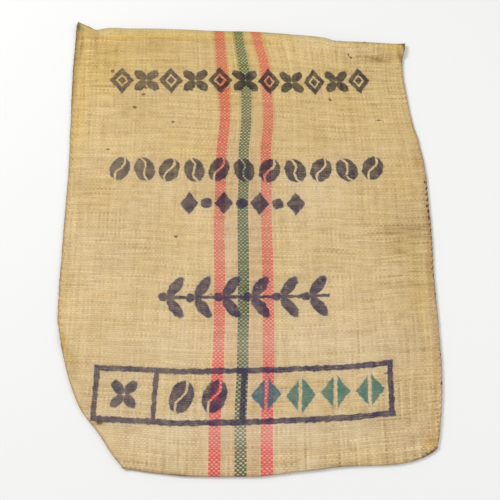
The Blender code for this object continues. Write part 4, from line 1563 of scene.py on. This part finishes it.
# running stitches that hold the hem, on the front and the back
hem_thread = Threads()
for side in ("front", "back"):
    x = -0.330
    k = 0
    while x < 0.318:
        run = 0.0068 * (1 + 0.18 * wander(k, 2.2))
        line = []
        for t in (0.0, 0.25, 0.5, 0.75, 1.0):
            px = x + run * t
            share = (px - MOUTH[0].x) / (MOUTH[-1].x - MOUTH[0].x)
            py = float(mouth_y(px)) - 0.0178 + 0.0008 * wander(k, 6.6) + 0.0006 * t
            if side == "back":
                py += float(lip_at(share))
                low = underneath(px, py)
                if low is None:
                    continue
                line.append((px, py, max(low.z + (0.0009 if t in (0.0, 1.0) else 0.0003), 0.00062)))
            else:
                top, _ = on_top(px, py)
                if top is None:
                    continue
                line.append((px, py, top.z + (-0.0006 if t in (0.0, 1.0) else 0.00032)))
        if len(line) == 5:
            hem_thread.add(line, 0.00052, 5)
        x += run + 0.0036
        k += 1

stitches = joined(left_plain, right_plain, under).build("seam_stitches", natural)
dark_stitches = joined(right_dark, knots, mends).build("seam_stitches_dark", dark_twine)
hem_stitches = hem_thread.build("hem_stitches", twine_material("twine_hem", (0.46, 0.30, 0.11), (0.82, 0.62, 0.30)))

# loose fibres that stand out of the cloth
fuzz = Threads()
random = np.random.default_rng(7)


def fibre_at(point, normal, length, radius):
    """A fine hair from a point of the cloth: it leaves along the normal's side and curls back."""
    heading = random.uniform(0, 2 * math.pi)
    flat = Vector((math.cos(heading), math.sin(heading), 0.0))
    flat = (flat - normal * flat.dot(normal)).normalized()
    rise = random.uniform(0.06, 0.50)
    curl = random.uniform(-1.6, 1.6)
    side = normal.cross(flat)
    line = []
    for t in (0.0, 0.3, 0.62, 1.0):
        bend = curl * t * t * length * 0.5
        up = rise * length * (t - 0.55 * t * t)
        line.append(point + flat * (length * t * 0.85) + side * bend + normal * (up - 0.0002))
    if min(p.z for p in line) < 0.0002:
        return
    fuzz.add(line, radius, 3, taper=True)


for _ in range(1500):
    x, y = random.uniform(-0.35, 0.352), random.uniform(-0.475, 0.455)
    top, normal = on_top(x, y)
    if top is not None and normal.z > 0.3:
        fibre_at(top, normal, random.uniform(0.004, 0.010), random.uniform(0.00005, 0.00009))
for k in range(1300):
    v = random.uniform(0.0, 1.0)
    which = k % 4
    if which == 0:
        x, y = side_point("left", v, 0.0007)
        out = Vector((-1, -0.1, 0.35))
    elif which == 1:
        x, y = side_point("right", v, 0.0007)
        out = Vector((1, 0.0, 0.35))
    else:
        edge = plan(v, 0.0 if which == 2 else 1.0)
        x, y = float(edge[0]), float(edge[1])
        y += 0.0012 if which == 2 else -0.0012
        out = Vector((0, -1 if which == 2 else 1, 0.35))
    top, normal = on_top(x, y)
    if top is not None:
        fibre_at(top, out.normalized(), random.uniform(0.003, 0.010), random.uniform(0.00006, 0.00011))
loose_fibres = fuzz.build("loose_fibres", twine_material("fibre", (0.46, 0.31, 0.15), (0.90, 0.76, 0.52)))

# ================================================================ the pieces ride on the root body, and the CAD sack is hidden
extras = [stitches, dark_stitches, hem_stitches, loose_fibres]
for piece in (sack, *extras):
    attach(piece, "root")
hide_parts("sack_body")

# ================================================================ floor, light and camera
floor_mesh = bpy.data.meshes.new("floor")
floor_mesh.from_pydata([(-6, -6, 0), (6, -6, 0), (6, 6, 0), (-6, 6, 0)], [], [(0, 1, 2, 3)])
floor = bpy.data.objects.new("floor", floor_mesh)
floor.location.z = -0.0004
bpy.context.scene.collection.objects.link(floor)
white = bpy.data.materials.new("floor_paint")
white.use_nodes = True
shader = white.node_tree.nodes["Principled BSDF"]
shader.inputs["Base Color"].default_value = (0.85, 0.85, 0.845, 1.0)
shader.inputs["Roughness"].default_value = 0.75
shader.inputs["Specular IOR Level"].default_value = 0.2
floor_mesh.materials.append(white)


def lamp(name, place, size, power, aim=(0.0, 0.0, 0.0)):
    data = bpy.data.lights.new(name, "AREA")
    data.shape = "DISK"
    data.size = size
    data.energy = power
    obj = bpy.data.objects.new(name, data)
    obj.location = place
    obj.rotation_euler = (Vector(aim) - Vector(place)).to_track_quat("-Z", "Y").to_euler()
    bpy.context.scene.collection.objects.link(obj)
    return obj


lamp("key", (-2.7, 1.62, 3.06), 1.6, 108.0)
lamp("fill", (1.6, -0.6, 2.0), 2.2, 16.0)
world = bpy.data.worlds.new("studio")
world.use_nodes = True
world.node_tree.nodes["Background"].inputs[0].default_value = (1.0, 1.0, 1.0, 1.0)
world.node_tree.nodes["Background"].inputs[1].default_value = 0.55
bpy.context.scene.world = world

camera_data = bpy.data.cameras.new("camera")
camera_data.sensor_width = 36.0
camera_data.lens = 62.8
camera = bpy.data.objects.new("camera", camera_data)
camera.location = EYE
camera.rotation_euler = (AIM - EYE).to_track_quat("-Z", "Y").to_euler()
bpy.context.scene.collection.objects.link(camera)
bpy.context.scene.camera = camera
bpy.context.scene.view_settings.view_transform = "Standard"

bpy.context.view_layer.update()
